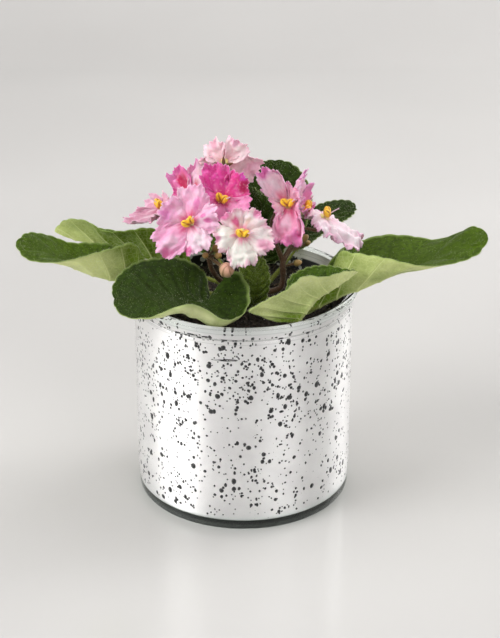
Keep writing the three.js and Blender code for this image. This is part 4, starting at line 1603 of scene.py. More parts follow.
@dataclass
class Bloom:
    """One bloom: its corolla of five ruffled petals, pollen sacs and style."""

    number: int
    at: list[float]
    facing: list[float]
    roll: float
    stalk: str
    petals: Points
    palette: Palette
    limb: int = 0
    style: tuple[float, float, float] = (0.5, 0.1, 0.9)
    rings: int = 25
    columns: int = 58
    spread: float = 1.28
    thickness: float = 0.3
    sinus: float = 0.18
    frill: float = 0.04
    arch: float = 1.5
    wave: float = 0.8
    crumple: float = 0.82
    tube_length: float = 3.0

    def axes(self) -> tuple[Array, Array, Array]:
        """The bloom's right, top and front.

        Returns:
            The three directions.
        """
        front = unit(np.array(self.facing, float))
        top = unit(UP - front * (UP @ front))
        angle = -math.radians(self.roll)
        top = top * math.cos(angle) + np.cross(front, top) * math.sin(angle)
        return np.cross(top, front), top, front

    def point(self, right: Array, top: Array, front: Array) -> Array:
        """Points in the bloom's own measures, in the plant's frame."""
        parts = zip((right, top, front), self.axes())
        return np.array(self.at) + sum(np.asarray(value)[..., None] * axis for value, axis in parts)

    def ruffles(self, k: int, ring: Array, turn: Array, rng: Chance) -> Array:
        """How far the petal waves in and out: a dome, soft creases that run every way and a frilled rim.

        Args:
            k: Which petal.
            ring: Share of the way from throat to rim.
            turn: Angle round the bloom.
            rng: Seeded chance.

        Returns:
            Distances along the bloom's front.
        """
        reach = self.petals[k][0] * ring
        right, up = reach * np.sin(turn), reach * np.cos(turn)
        creases = np.zeros_like(ring)
        for length, height in ((9.0, 0.5), (6.5, 0.42), (4.6, 0.3), (3.2, 0.17), (2.3, 0.09)):
            for angle in rng.uniform(0, 2 * np.pi, 2):
                way = right * math.cos(angle) + up * math.sin(angle)
                creases += height * np.sin(way * 2 * np.pi / length + rng.uniform(0, 6))
        swing = 0.5 + 0.5 * np.sin(4 * turn + rng.uniform(0, 6)) * np.sin(7 * turn + rng.uniform(0, 6))
        bend = 2.2 * ring + 1.5 * np.sin(3 * turn + self.number)
        wavy = ring**6 * (0.4 + 0.9 * swing) * np.sin(19 * turn + bend + k)
        fine = np.sin(47 * turn + 2 * np.sin(7 * turn + k) + rng.uniform(0, 6))
        frill = ring**12 * (0.3 + 0.5 * swing) * fine
        dome = 0.9 * np.sin(np.pi * ring) * np.cos(2.5 * (turn - (k + 0.5) / 5 * 2 * np.pi))
        return self.crumple * (creases * ease(ring, 0.15, 0.75) + wavy + frill) + dome

    def petal(self, k: int, rng: Chance) -> tuple[Array, Array, Array]:
        """One petal's middle surface.

        Across the petal, b runs from -1 to 1 between its gaps, and a flap runs on under its
        neighbour. Its reach is its length times 1 - sinus * b⁴ with a frill, and its tilt blends
        into its neighbour's with |b|³. It rises with reach * sin(tilt), waves that grow with the
        cube of the ring, an arch that falls with b², and ruffles towards the rim.

        Args:
            k: Which petal, clockwise from the top.
            rng: Seeded chance.

        Returns:
            The points, the ring and b.
        """
        rings = np.linspace(0.05, 1, self.rings) ** 0.8
        ring, b = np.meshgrid(rings, np.linspace(-self.spread, self.spread, self.columns), indexing="ij")
        own = self.petals[k]
        beside = np.where(b < 0, (k + 4) % 5, (k + 1) % 5)
        lengths, tilts = (np.array([petal[i] for petal in self.petals]) for i in (0, 1))
        notches = np.array([petal[2] if len(petal) > 2 else self.sinus for petal in self.petals])
        share = 0.5 * np.minimum(np.abs(b), 1.0) ** 3
        length = own[0] * (1 - share) + lengths[beside] * share
        tilt = np.radians(own[1] * (1 - share) + tilts[beside] * share)
        turn = (k + b / 2 + 0.5) / 5 * 2 * np.pi
        n = self.number
        shift = rng.uniform(0, 6, 3)
        tooth = 0.5 + 0.5 * np.sin(46 * turn + 3 * np.sin(5 * turn + n) + shift[0])
        teeth = 0.055 * tooth**0.6 + 0.018 * np.sin(85 * turn + shift[1])
        teeth = teeth + 0.032 * np.sin(19 * turn + shift[2])
        notch = notches[k] * (1 - share) + notches[beside] * share
        outline = np.maximum(1 - notch * b**4, 0.2) + self.frill * np.sin(9 * turn + n)
        outline = outline + (teeth - 0.03) * ease(ring, 0.72, 1.0)
        reach = length * outline * ring
        low = self.wave * ring**3 * (np.sin(7 * turn + 2 * n) + 0.6 * ring**2 * np.sin(12 * turn - n))
        layer = (-0.5, 0.15, 0.75, 0.45, -0.2)[k] * np.minimum(ring * 2, 1)
        rise = reach * np.sin(tilt * ring) + low - self.arch * ring * np.minimum(b**2, 1.4) + layer
        rise = rise + self.ruffles(k, ring, turn, rng) * min(1.0, own[0] / 14)
        flat = reach * np.cos(tilt * ring)
        return self.point(flat * np.sin(turn), flat * np.cos(turn), rise), ring, b

    def paint(self, k: int, ring: Array, b: Array, rng: Chance) -> Array:
        """The petal's colour: its tone with clouds, veins, patches, a rim, a ring and the throat.

        Args:
            k: Which petal.
            ring: Share of the way from throat to rim.
            b: The place across the petal.
            rng: Seeded chance.

        Returns:
            Linear colours.
        """
        colours = self.palette
        shifts = rng.uniform(0, 6, 10)
        wander = 0.06 * np.sin(5 * b + shifts[0]) + 0.05 * np.sin(13 * b + shifts[1] + 3 * ring)
        cloud = np.sin(3.1 * b + 4 * ring + shifts[2]) + np.sin(5.3 * b - 6 * ring + shifts[3])
        cloud = cloud + np.sin(8 * ring + shifts[4])
        shade = laid_over(linear(*colours.tones[k]), colours.pale, colours.clouds * ease(cloud, 0.0, 2.2))
        fork = b * (1 + 0.25 * ring) + 0.05 * np.sin(9 * ring + shifts[5])
        lines = np.maximum(0, np.sin(13 * fork + shifts[6])) ** 10
        lines = lines + 0.6 * np.maximum(0, np.sin(23 * fork + shifts[7])) ** 10
        shade = laid_over(shade, colours.ring, lines * colours.veins * 0.6 * (1 - ease(ring, 0.3, 0.8)))
        speckle = 0.5 + 0.5 * np.sin(41 * b + shifts[8]) * np.sin(23 * ring + 9 * b + shifts[9])
        edge = colours.rim_strength * ease(ring + wander, 0.8, 1.0) * (0.45 + 0.55 * speckle)
        shade = laid_over(shade, colours.rim, edge)
        for petal, at_ring, at_b, size, colour in colours.patches:
            if petal == k:
                off = np.hypot((ring - at_ring + 0.4 * wander) / size, (b - at_b + wander) / (1.7 * size))
                shade = laid_over(shade, colour, 0.9 * (1 - ease(off, 0.45, 1.25)))
        # The dark eye round the throat: the bloom's own darker colour, deepened as painted shade where the
        # petals dip into the throat.
        eye = colours.ring_strength * (1 - ease(ring + 0.4 * wander, 0.14, 0.42))
        return laid_over(laid_over(shade, colours.ring, eye), colours.throat, 1 - ease(ring, 0.09, 0.16))

    def build(self, material: Material, sacs: Material) -> None:
        """Makes the corolla and the pollen sacs.

        Args:
            material: The petals' finish.
            sacs: The pollen sacs' finish.
        """
        rng = np.random.default_rng(100 + self.number)
        work = Patchwork()
        front = self.axes()[2]
        for k in range(5):
            points, ring, b = self.petal(k, rng)
            uv = np.stack([(k + 0.5 + b / 2.6) / 5, ring], -1)
            half, paint = self.thickness / 2, self.paint(k, ring, b, rng)
            add_sheet(work, points, facing_sign(points, front), half, half, uv, paint=paint)
        heights = np.linspace(-self.tube_length, 0.5, 8)
        tube = np.array([self.point(0.0, 0.0, height) for height in heights])
        radii = np.interp(heights, [-3, -1, 0.5], [1.5, 1.75, 2.3])
        add_tube(work, tube, radii, 24, paint=linear(*self.palette.throat), upper=1.0)
        name = f"petals_{self.number}"
        settle(work.build(name, material), name, f"corolla_{self.number}")
        self.build_sacs(sacs)

    def build_sacs(self, material: Material) -> None:
        """Makes two pollen sacs of two lobes each on a short filament, and the style beside them.

        Args:
            material: Their finish.
        """
        work = Patchwork()
        right, top, front = self.axes()
        rng = np.random.default_rng(300 + self.number)
        rise, turn = np.linspace(-np.pi / 2, np.pi / 2, 18)[:, None], circle(32)[None]
        profile = pairs(1.75 * np.cos(rise) ** 0.8, 2.3 * np.sin(rise))
        for side in (-1, 1):
            lobes = np.abs(np.cos(1.5 * turn + rng.uniform(0, 2))) ** 0.5
            lobes = 0.66 + 0.36 * lobes + 0.06 * np.sin(5 * turn + 4 * rise)
            # Painted shade: orange-brown in the grooves between the lobes and on the lower half, towards the
            # base.
            groove_shade = np.clip((0.98 - lobes[1:-1]) / 0.2, 0, 1) ** 1.3
            groove_shade = groove_shade + (1 - ease(np.sin(rise[1:-1]), -0.9, 0.1)) * 0.5
            paint = laid_over(linear(255, 204, 40), (170, 84, 14), np.append(groove_shade.ravel(), [1.0, 0.0]))
            centre = self.point(side * 1.45, rng.uniform(-0.4, 0.4), 3.1)
            axis = unit(top * rng.uniform(0.4, 0.8) + front * 0.7 + right * side * rng.uniform(0.2, 0.6))
            add_turned(work, profile, turn.size, centre, axis, lobes, paint=paint)
        filament = np.array([self.point(0.0, 0.0, height) for height in np.linspace(0.4, 3.0, 5)])
        add_tube(work, filament, np.full(5, 0.75), 10, paint=linear(246, 226, 170))
        share = np.linspace(0, 1, 12)[:, None]
        way = right * self.style[0] + top * self.style[1] + front * self.style[2]
        line = self.point(0.3, -0.4, 0.6) + way * 7.5 * share + (front * 1.6) * (share - share**2)
        radii = np.interp(share[:, 0], [0, 0.9, 1], [0.28, 0.22, 0.42])
        add_tube(work, line, radii, 8, paint=linear(228, 196, 214))
        settle(work.build(f"pollen_sacs_{self.number}", material), "anther", f"anthers_{self.number}")


@dataclass
class FlowerStalk:
    """A flower stalk with its limbs, stalklets, sepals and closed buds."""

    name: str
    limbs: list[Points]
    buds: list[tuple[list[float], list[float], float]]
    stem: Colour = (82, 54, 26)
    tip: Colour = (120, 92, 52)
    limb_hairs: int = 420
    stalklet_hairs: int = 160
    bud_hairs: int = 60

    def rod(
        self,
        work: Patchwork,
        down: Down,
        listed: Points,
        start: float,
        end: float,
        number: int,
    ) -> None:
        """Adds a hairy rod whose radius eases from start to end.

        Args:
            work: The stalk's mesh.
            down: The plant's hairs.
            listed: Points along the rod.
            start: First radius.
            end: Last radius.
            number: How many hairs.
        """
        share = np.linspace(0, 1, 14 + 10 * len(listed))
        path = Line.through(listed).at(share)
        first = crown_exit(path)
        mixed = linear(*self.stem) * 0.5 + linear(*self.tip) * 0.5
        colour = linear(*self.stem) if start > 1 else mixed
        rings, out = add_tube(work, path[first:], (start + (end - start) * share)[first:], 14, paint=colour)
        i = down.rng.integers(0, len(rings), number)
        j = down.rng.integers(0, rings.shape[1], number)
        down.add(rings[i, j], out[i, j], 0.3, (0.4, 0.9))

    def sepals(
        self,
        work: Patchwork,
        centre: Array,
        axis: Array,
        top: Array,
        length: float,
        spread: float,
    ) -> None:
        """Adds five narrow pointed sepals that lean away from the axis.

        Each is a sheet whose half width is 0.85 sin(pi t^0.7) and whose line curves outwards.

        Args:
            work: The stalk's mesh.
            centre: Where they start.
            axis: Where the bloom faces.
            top: The first sepal's side.
            length: Their length.
            spread: 0 for closed along the axis, 1 for flat.
        """
        right = np.cross(top, axis)
        t, w = np.meshgrid(np.linspace(0.02, 0.985, 14), np.linspace(-1, 1, 7), indexing="ij")
        for k in range(5):
            turn = k / 5 * 2 * np.pi
            out = right * math.sin(turn) + top * math.cos(turn)
            side = right * math.cos(turn) - top * math.sin(turn)
            half = 0.16 * length * np.sin(np.pi * t**0.7)
            along = length * t
            points = centre + out * (along * spread)[..., None] + side * (half * w)[..., None]
            points = points + axis * (along * (1 - spread) * 0.8 - 0.35 + 0.25 * w**2)[..., None]
            sign = facing_sign(points, axis)
            paint = laid_over(linear(96, 92, 40), (112, 62, 42), t)
            add_sheet(work, points, sign, 0.22, 0.22, np.stack([t, w], -1), paint=paint)

    def bud(self, work: Patchwork, at: Array, axis: Array, radius: float) -> None:
        """Adds a closed bud: an egg with five faint folds, its point along the axis, held by sepals.

        Args:
            work: The stalk's mesh.
            at: The bud's middle.
            axis: Where it points.
            radius: Its radius.
        """
        rise, turn = np.linspace(-np.pi / 2, np.pi / 2, 18), circle(30)
        height = radius * 1.25 * np.sin(rise) + 0.25 * radius * np.sin(rise) ** 2
        swell = 1 - 0.07 * (1 - np.abs(np.sin(2.5 * turn[None] + rise[:, None])))
        colour = laid_over(linear(112, 104, 40), (206, 164, 100), (np.sin(rise[1:-1]) + 1) / 2)
        paint = np.vstack([np.repeat(colour, turn.size, 0), colour[[0, -1]]])
        add_turned(work, pairs(radius * np.cos(rise), height), turn.size, at, axis, swell, paint=paint)
        side = unit(np.cross(axis, [0.3, 0.9, 0.1]))
        self.sepals(work, at - axis * radius * 1.1, axis, side, radius * 1.5, 0.35)

    def build(
        self,
        blooms: list[Bloom],
        extra: list[tuple[list[float], list[float], float]],
        down: Down,
        material: Material,
    ) -> None:
        """Makes the stalk with all it bears.

        Args:
            blooms: The blooms on it.
            extra: Stalklets that end in a piece of their own: start, end and radius.
            down: The plant's hairs.
            material: Its finish.
        """
        work = Patchwork()
        for line in self.limbs:
            self.rod(work, down, line, 1.5, 1.05, self.limb_hairs)
        for bloom in blooms:
            start = np.array(self.limbs[bloom.limb][-1])
            behind = bloom.point(0.0, 0.0, -7.8)
            line = [start, start * 0.45 + behind * 0.55, behind, bloom.point(0.0, 0.0, -3.3)]
            self.rod(work, down, line, 0.7, 0.88, self.stalklet_hairs)
            _, top, front = bloom.axes()
            self.sepals(work, bloom.point(0.0, 0.0, -3.9), front, top, 5.6, 0.86)
        for start, at, radius in self.buds:
            axis = unit(np.array(at) - np.array(start))
            self.rod(work, down, [start, np.array(at) - axis * radius], 0.6, 0.75, self.bud_hairs)
            self.bud(work, np.array(at), axis, radius)
        for start, at, radius in extra:
            foot = np.array(at) - unit(np.array(at) - np.array(start)) * (radius * 1.1 + 0.3)
            self.rod(work, down, [start, foot], 0.7, 0.9, self.bud_hairs)
        settle(work.build(self.name.replace("flower_stalk", "bloom_stalk"), material), "stalk", self.name)


@dataclass
class OpeningBud:
    """The large bud whose folded petals begin to show."""

    start: tuple[float, float, float] = (-17.0, -8.5, 127.0)
    at: tuple[float, float, float] = (-7.8, -25.0, 126.8)
    radius: float = 3.6

    def build(self, material: Material) -> None:
        """Makes the bud: an upright egg whose five petals wrap over each other in a slow turn.

        Args:
            material: Its finish.
        """
        rise, turn = np.linspace(-np.pi / 2, np.pi / 2, 36), circle(80)
        wrap = (5 * turn[None] / (2 * np.pi) + 0.35 * rise[:, None]) % 1.0
        profile = pairs(self.radius * np.cos(rise) ** 0.85, self.radius * 1.12 * np.sin(rise))
        share = np.repeat((np.sin(rise[1:-1]) + 1) / 2, turn.size)
        fold = np.exp(-(((wrap - 0.02) / 0.12) ** 2))[1:-1].ravel()
        colour = laid_over(linear(156, 136, 66), (228, 172, 150), share)
        colour = laid_over(colour, (112, 88, 34), 0.75 * fold)
        paint = np.vstack([colour, colour[[0, -1]]])
        axis, swell = unit(np.array([0.25, -0.55, 0.8])), 0.9 + 0.14 * wrap**1.5
        work = Patchwork()
        add_turned(work, profile, turn.size, np.array(self.at), axis, swell, paint=paint)
        settle(work.build("opening_bud", material), "bud", "bud_opening")


def leaf_list() -> list[Leaf]:
    """The rosette's eleven leaves."""
    # A leaf finish's fourth number is how far from the stalk the painted shade on the underside reaches.
    dark = LeafFinish("Dark leaf", (46, 66, 10), (222, 228, 168), 0.1)
    green = LeafFinish("Green leaf", (72, 96, 12), (220, 228, 152))
    shaded = LeafFinish("Shaded leaf", (72, 96, 12), (212, 224, 140), 1.0)
    light = LeafFinish("Light leaf", (66, 92, 16), (222, 228, 160), 0.4)
    olive = LeafFinish("Olive leaf", (92, 112, 34), (180, 188, 120))
    small = {"rows": 116, "half_columns": 17}
    return [
        Leaf(
            "leaf_left_spoon", green, 0.6,
            [[4, 0, 101], [-12, -2, 103.5], [-32, -4, 108.5]],
            [
                [-46, -4, 111.6], [-54, -4.5, 112.6], [-64, -6.6, 114.6], [-78, -8.6, 119.8],
                [-93, -9.4, 128.6], [-108.8, -10, 134],
            ],
            [
                [-46, -7.4, 118.4], [-48.4, -9, 127], [-53, -11, 134.2], [-61, -15.6, 134],
                [-70, -19.5, 133], [-79.4, -23, 131.6], [-90, -24.5, 130.6], [-101.8, -21, 131],
            ],
            [
                [-49, 4, 113.4], [-56, 9, 118], [-64.5, 12, 123.6], [-75, 13, 124.5],
                [-84.8, 12, 125.2], [-93.8, 8, 130.4], [-103.8, 0, 135.2],
            ],
        ),
        Leaf(
            "leaf_back_left", shaded, 0.5,
            [[4, 0, 104], [-6, 5, 105.2], [-16, 8.4, 107.2]],
            [
                [-26, 11.4, 109.8], [-35, 14.6, 112.4], [-46, 18, 114.6], [-58, 22, 116.4],
                [-74, 26, 119], [-88, 27, 122.6], [-93.9, 26, 126],
            ],
            [
                [-26, 8, 117], [-30, 7, 125], [-37, 7, 130.4], [-45, 8, 134.3], [-57.5, 12, 131.4],
                [-68, 15, 130.2], [-77, 17, 134.6], [-87, 20, 134],
            ],
            [
                [-28, 20, 112.8], [-34, 28, 115.4], [-52, 37, 118.6], [-64, 41, 119.6],
                [-76, 40, 121.8], [-87, 34, 124.4],
            ],
        ),
        Leaf(
            "leaf_front_left_round", dark, 0.9,
            [[4, 0, 102.5], [-2, -10, 103], [-9, -20, 105.5]],
            [
                [-14.6, -27, 109.6], [-24, -30, 113.4], [-34.5, -33, 116.4], [-48.5, -34, 116.8],
                [-57, -34, 116.2], [-60.8, -33, 115.6],
            ],
            [
                [-10.6, -19.4, 116.4], [-8.2, -18, 121.4], [-2.2, -20, 122.8], [1.5, -24, 118.6],
                [2.4, -31, 114.6], [0.4, -39, 112.1], [-4.8, -45, 110.9], [-10.4, -48.4, 112.4],
                [-17.7, -53, 119.5], [-25, -57.5, 124], [-33, -58, 122], [-42.8, -56, 117],
                [-54.6, -49, 114.1], [-59.4, -42, 115.4],
            ],
            [
                [-16.6, -20, 114], [-18.5, -13, 119.6], [-24.5, -10, 123.6], [-32, -9.5, 126],
                [-41, -11, 126.4], [-49.8, -13, 125.6], [-58, -20, 122.6], [-61.6, -27, 118.2],
            ],
            belly=(5.5, 0.0),
        ),
        Leaf(
            "leaf_front_right_folded", light, 0.35,
            [[4, 0, 103], [9, -12, 102.6], [16, -26, 102.8]],
            [[24.6, -38, 106.2], [29, -38, 111.4], [34.2, -36, 117], [43, -32, 121], [54, -27, 126.8]],
            [
                [16.2, -40, 107], [7.4, -41.5, 111], [3.1, -42, 113.1], [10.7, -41.5, 118.4],
                [20, -40.5, 123], [28.6, -38.8, 129.2], [38, -36.4, 128], [48, -31.6, 128.6],
            ],
            [
                [21, -30, 111], [20.6, -27, 116.6], [22.4, -25, 122.6], [29.6, -22, 125.8],
                [38.6, -22, 127.3], [48, -25, 126.8],
            ],
        ),
        Leaf(
            "leaf_right_spoon", green, 0.6,
            [[4, 0, 101.5], [15, -5, 101.5], [24, -14, 102.2]],
            [
                [30, -24, 104.6], [39, -22.5, 109], [48.6, -20, 112.8], [56, -18, 114.4],
                [68.4, -14, 118.2], [85.6, -11, 123.6], [102, -8, 130], [117.8, -5, 135.6],
            ],
            [
                [36, -20, 113], [42.6, -16, 123.6], [46.3, -17, 132], [53, -20, 132.6],
                [60, -22.5, 132.6], [67, -26, 132.8], [83.6, -29, 130.4], [98, -23, 129],
                [112, -13, 130.4],
            ],
            [
                [32, -12, 108], [40, 4, 114], [48, 14, 120.2], [56, 18, 122.6], [69, 18, 126.4],
                [82, 15, 127.2], [94, 10.5, 127.2], [103, 7, 131.4], [112, 3, 137],
            ],
        ),
        Leaf(
            "leaf_back_tall", dark, 1,
            [[4, 0, 105], [6, 8, 106.8], [8.5, 15, 112]],
            [[11, 21, 119.4], [14, 32, 131], [15.6, 42, 143.6], [16, 50, 154.4]],
            [[1, 19, 122.6], [-4.4, 26, 133], [-2.6, 37, 146.4], [4.6, 46, 153.4]],
            [[21, 18, 121.4], [30.6, 26, 129], [33.6, 36, 139.4], [29, 45, 149.4], [22.6, 49, 153.4]],
            **small,
        ),
        Leaf(
            "leaf_back_right", dark, 0.8,
            [[4, 0, 102.4], [12, 7, 106], [20, 14, 112.6]],
            [[26, 19.5, 118.4], [34.2, 28.4, 124.6], [44.6, 36.6, 129], [57, 42.6, 132.2]],
            [[30, 16.5, 121], [36, 22, 123.6], [45.4, 30, 127.2], [54, 37.4, 129.6]],
            [[24, 28, 121], [28.6, 38, 127.6], [36, 44, 131.4], [46, 47, 133.4], [54, 46.4, 133.4]],
            **small,
        ),
        Leaf(
            "leaf_centre_young", olive, 0.8,
            [[4, 0, 105.8], [3.6, -7, 106.4], [3.6, -13, 105]],
            [[4.4, -18.4, 104], [5.4, -19.6, 109.4], [6, -17, 116], [5.4, -12, 122.4], [5, -8, 127]],
            [[0.6, -20, 105.6], [-1.6, -20.2, 110.6], [-2.4, -17, 117], [0.6, -11.4, 125]],
            [[8.6, -20.6, 107], [11.3, -18.4, 112.6], [12, -14, 118.6], [9.6, -9.4, 124.8]],
            **small,
            teeth=9,
        ),
        Leaf(
            "leaf_centre_upright", dark, 0.8,
            [[2.6, 0.4, 107], [2.8, 2.4, 110.4], [6, 5.8, 113.6]],
            [[9.4, 8.4, 115.4], [9.8, 12, 125], [8, 16, 137.6], [3.4, 20, 151.6]],
            [[3, 8.4, 118], [-2, 11.4, 128], [-4.4, 15, 139.4], [-2.4, 18.4, 148.4]],
            [[16, 7.6, 117.6], [20.4, 10.4, 125.4], [19.4, 14.4, 134.4], [12.4, 18.8, 144.6]],
        ),
        Leaf(
            "leaf_back_low_left", green, 0.8,
            [[4, 0, 101], [-3, 10, 103], [-9, 20, 108]],
            [[-14, 28, 112.4], [-20, 38, 117.4], [-26, 50, 122], [-31, 62, 124.6], [-34, 70, 124]],
            [[-20, 26, 114.4], [-32, 36, 120.6], [-40.4, 48, 123.6], [-41.6, 60, 124.4]],
            [[-10, 32, 115.6], [-6, 44, 121.6], [-10, 58, 125.6], [-20, 68, 126]],
            **small,
        ),
        Leaf(
            "leaf_back_low_right", green, 0.8,
            [[4, 0, 101.4], [8, 12, 102.6], [9.4, 24, 106.4]],
            [[10.6, 34, 110.6], [12.6, 46, 114.6], [14, 58, 117.6], [15, 69, 118.6]],
            [[4, 36, 114], [-2, 48, 118.6], [1, 61, 120.6], [8, 69, 120]],
            [[15.6, 32, 112.4], [22, 42, 115.8], [25, 54, 118.4], [22, 65, 119.2]],
            **small,
        ),
    ]


def bloom_list() -> list[Bloom]:
    """The nine blooms, from the near left one round to the far right one."""
    pink = Palette(
        ((244, 174, 208), (247, 190, 218), (249, 202, 222), (243, 166, 202), (242, 172, 208)),
        rim=(248, 198, 224),
        pale=(251, 218, 232),
        rim_strength=0.55,
        patches=(
            (2, 0.62, -0.2, 0.26, (254, 228, 238)), (1, 0.66, 0.1, 0.16, (224, 104, 172)),
            (1, 0.5, -0.5, 0.12, (226, 116, 178)), (3, 0.86, -0.3, 0.16, (228, 120, 172)),
            # The first patch on the next line is painted shade where the lower right petal folds at its rim.
            (2, 0.88, 0.75, 0.16, (210, 84, 148)), (4, 0.78, -0.3, 0.2, (230, 140, 196)),
            (0, 0.5, 0.3, 0.2, (234, 132, 188)),
        ),
    )
    magenta = Palette(
        ((222, 66, 148), (240, 150, 194), (240, 150, 196), (226, 92, 170), (222, 74, 158)),
        ring=(196, 24, 96),
        rim=(230, 120, 186),
        pale=(244, 150, 200),
        clouds=0.35,
        patches=(
            # The first patch on the next line, dark crimson, is painted shade where the upper petal folds.
            (0, 0.8, 0.3, 0.26, (158, 12, 72)), (0, 0.95, -0.1, 0.2, (190, 60, 160)),
            (3, 0.85, 0.0, 0.2, (232, 160, 214)),
        ),
    )
    cream = Palette(
        ((248, 222, 226), (252, 228, 230), (254, 244, 236), (254, 242, 236), (246, 214, 220)),
        ring=(226, 92, 146),
        rim=(234, 120, 176),
        pale=(254, 246, 236),
        ring_strength=0.8,
        veins=0.4,
        patches=(
            (4, 0.5, 0.1, 0.28, (208, 66, 128)), (0, 0.9, 0.0, 0.2, (238, 150, 190)),
            (4, 0.95, -0.3, 0.22, (232, 120, 172)), (3, 0.92, 0.1, 0.16, (232, 130, 180)),
            (1, 0.75, 0.2, 0.26, (240, 160, 190)), (3, 0.3, 0.0, 0.18, (244, 176, 198)),
            (0, 0.45, -0.3, 0.2, (226, 190, 182)),
        ),
    )
    pale = Palette(
        ((250, 206, 214), (248, 196, 210), (240, 186, 200), (248, 202, 212), (250, 214, 218)),
        ring=(214, 110, 140),
        rim=(238, 130, 186),
        pale=(255, 240, 226),
        patches=(
            (0, 0.85, -0.1, 0.2, (206, 84, 140)), (4, 0.9, 0.2, 0.2, (232, 120, 180)),
            (3, 0.8, 0.0, 0.24, (240, 150, 190)),
        ),
    )
    rose = Palette(
        ((240, 196, 216), (234, 120, 180), (226, 90, 160), (232, 110, 176), (238, 140, 192)),
        ring=(186, 14, 72),
        rim=(216, 84, 172),
        pale=(250, 224, 234),
        ring_strength=0.95,
        patches=(
            (4, 0.5, 0.2, 0.34, (204, 26, 92)), (0, 0.32, 0.0, 0.26, (196, 16, 74)),
            (0, 0.7, 0.1, 0.3, (238, 206, 216)), (4, 0.9, -0.4, 0.2, (236, 150, 206)),
        ),
    )
    dusty = Palette(
        ((236, 180, 204), (220, 156, 184), (204, 146, 168), (212, 152, 176), (236, 180, 204)),
        ring=(196, 90, 130),
        rim=(236, 190, 212),
    )
    soft = Palette(
        ((248, 190, 214), (246, 170, 202), (242, 156, 190), (248, 192, 212), (252, 212, 228)),
        rim=(220, 92, 172),
        ring=(206, 40, 110),
        patches=(
            (4, 0.94, 0.0, 0.26, (224, 112, 184)), (4, 0.5, 0.2, 0.24, (254, 230, 240)),
            (2, 0.45, 0.2, 0.26, (250, 200, 220)), (2, 0.8, -0.4, 0.2, (222, 120, 176)),
        ),
    )
    bright = Palette(
        ((250, 210, 232), (242, 160, 204), (236, 120, 176), (236, 110, 170), (240, 150, 206)),
        ring=(168, 10, 56),
        rim=(222, 112, 192),
        ring_strength=1.0,
        patches=(
            (3, 0.5, 0.0, 0.4, (178, 14, 66)), (2, 0.4, 0.0, 0.3, (190, 24, 80)),
            (0, 0.95, 0.0, 0.2, (226, 140, 206)),
        ),
    )
    blush = Palette(
        ((250, 222, 232), (249, 216, 228), (250, 222, 232), (248, 212, 226), (250, 222, 232)),
        ring=(232, 150, 180),
        rim=(232, 140, 190),
        pale=(255, 244, 246),
        ring_strength=0.4,
        veins=0.15,
    )
    return [
        Bloom(
            1, [-25.4, -13, 146.1], [-0.2, -0.86, 0.46], -31, "left",
            [[18, 14], [14.5, 6], [15.5, 4, 0.26], [20, 6], [15.5, 22]],
            pink, crumple=0.72,
        ),
        Bloom(
            2, [-10, -3, 153.6], [-0.04, -0.8, 0.6], 15, "left",
            [[17, 34], [15.5, 22], [12, 8], [12.5, 14], [18, 22]],
            magenta,
        ),
        Bloom(
            3, [-0.6, -22.4, 144.6], [0.08, -0.93, 0.36], 4, "left",
            [[12.8, 12], [15.6, 6], [16.2, 4], [13.4, 8], [12.2, 14]],
            cream, crumple=0.62,
        ),
        Bloom(
            4, [-9, 14.4, 166.4], [0.1, 0.97, 0.14], 0, "left",
            [[12, 16], [13, 10], [12, 10], [18, 10], [13, 14]],
            pale,
        ),
        Bloom(
            5, [-27, 11, 150], [-0.4, -0.5, 0.77], -14, "left",
            [[18.5, 36], [11, 20], [8, 10], [7, 34], [15, 38]],
            rose,
        ),
        Bloom(
            6, [-38.8, 6.4, 146.2], [-0.7, -0.2, 0.68], 0, "left",
            [[7, 25], [11, 20], [18.6, 31], [12, 22], [7, 25]],
            dusty, style=(0.0, 0.1, 1.0),
        ),
        Bloom(
            7, [21.4, -8, 153.6], [-0.16, -0.84, 0.52], -8, "right",
            [[10, 40], [10, 52], [21, 6], [9, 40], [23, 44, 0.45]],
            soft, crumple=1.5,
        ),
        Bloom(
            8, [29.4, 6.6, 145], [0.6, -0.44, 0.67], -42, "right",
            [[18.5, 42, 0.02], [7, 30], [6, 20], [7, 34], [10, 44]],
            bright, limb=1, wave=1.5, crumple=2.1,
        ),
        Bloom(
            9, [38.6, -3.6, 145], [0.45, -0.1, 0.88], 0, "right",
            [[8, -12], [15, -24], [22.5, -8, 0.1], [11.5, -14], [6.5, -16]],
            blush, limb=1, crumple=1.2, style=(0.35, -0.5, 0.8),
        ),
    ]


def stalk_list() -> dict[str, FlowerStalk]:
    """The two flower stalks."""
    return {
        "left": FlowerStalk(
            "flower_stalk_left",
            [[[4, 0, 105], [-3, -2, 107], [-10, -6, 112], [-15, -9, 120], [-17, -8, 130], [-17.5, -4, 137]]],
            [
                ([-17, -8.5, 127], [-12.8, -13, 133], 2.2),
                ([-17, -8.5, 127], [-12, -16, 130.4], 1.7),
                ([-17, -8.5, 127], [-18, -15, 130], 1.6),
            ],
        ),
        "right": FlowerStalk(
            "flower_stalk_right",
            [
                [
                    [4, 0, 105.2], [11, -3, 105.6], [18, -3.4, 108.2], [19.4, -2, 114], [19, -0.6, 121],
                    [15.6, -1, 131], [14, 0.4, 141], [17, 2, 147],
                ],
                [[19.4, -2, 114], [19.2, -0.8, 120], [23.6, 2, 128], [28, 5, 136]],
            ],
            [
                ([22, 1, 125], [29.4, 4.6, 130.4], 1.9),
                ([19.3, -0.5, 118], [26, 0, 119.6], 1.7),
                ([22, 1, 125], [31, 8, 126.6], 1.5),
            ],
        ),
    }


@dataclass(frozen=True)
class FloorFinish(Finish):
    """The plain pale floor with the faintest clouds."""

    name: str = "Pale floor"
    low: Colour = (198, 196, 194)
    high: Colour = (204, 202, 200)

    def inputs(self, n: Nodes) -> dict[str, object]:
        """The shader's inputs.

        Args:
            n: The material's nodes.

        Returns:
            The inputs by name.
        """
        clouds = n.ramp(n.noise(n.place(), 3.0, 2.0), 0.3, 0.7)
        colour = n.mix(clouds, screen(self.low), screen(self.high))
        return {"Base Color": colour, "Roughness": 0.15}


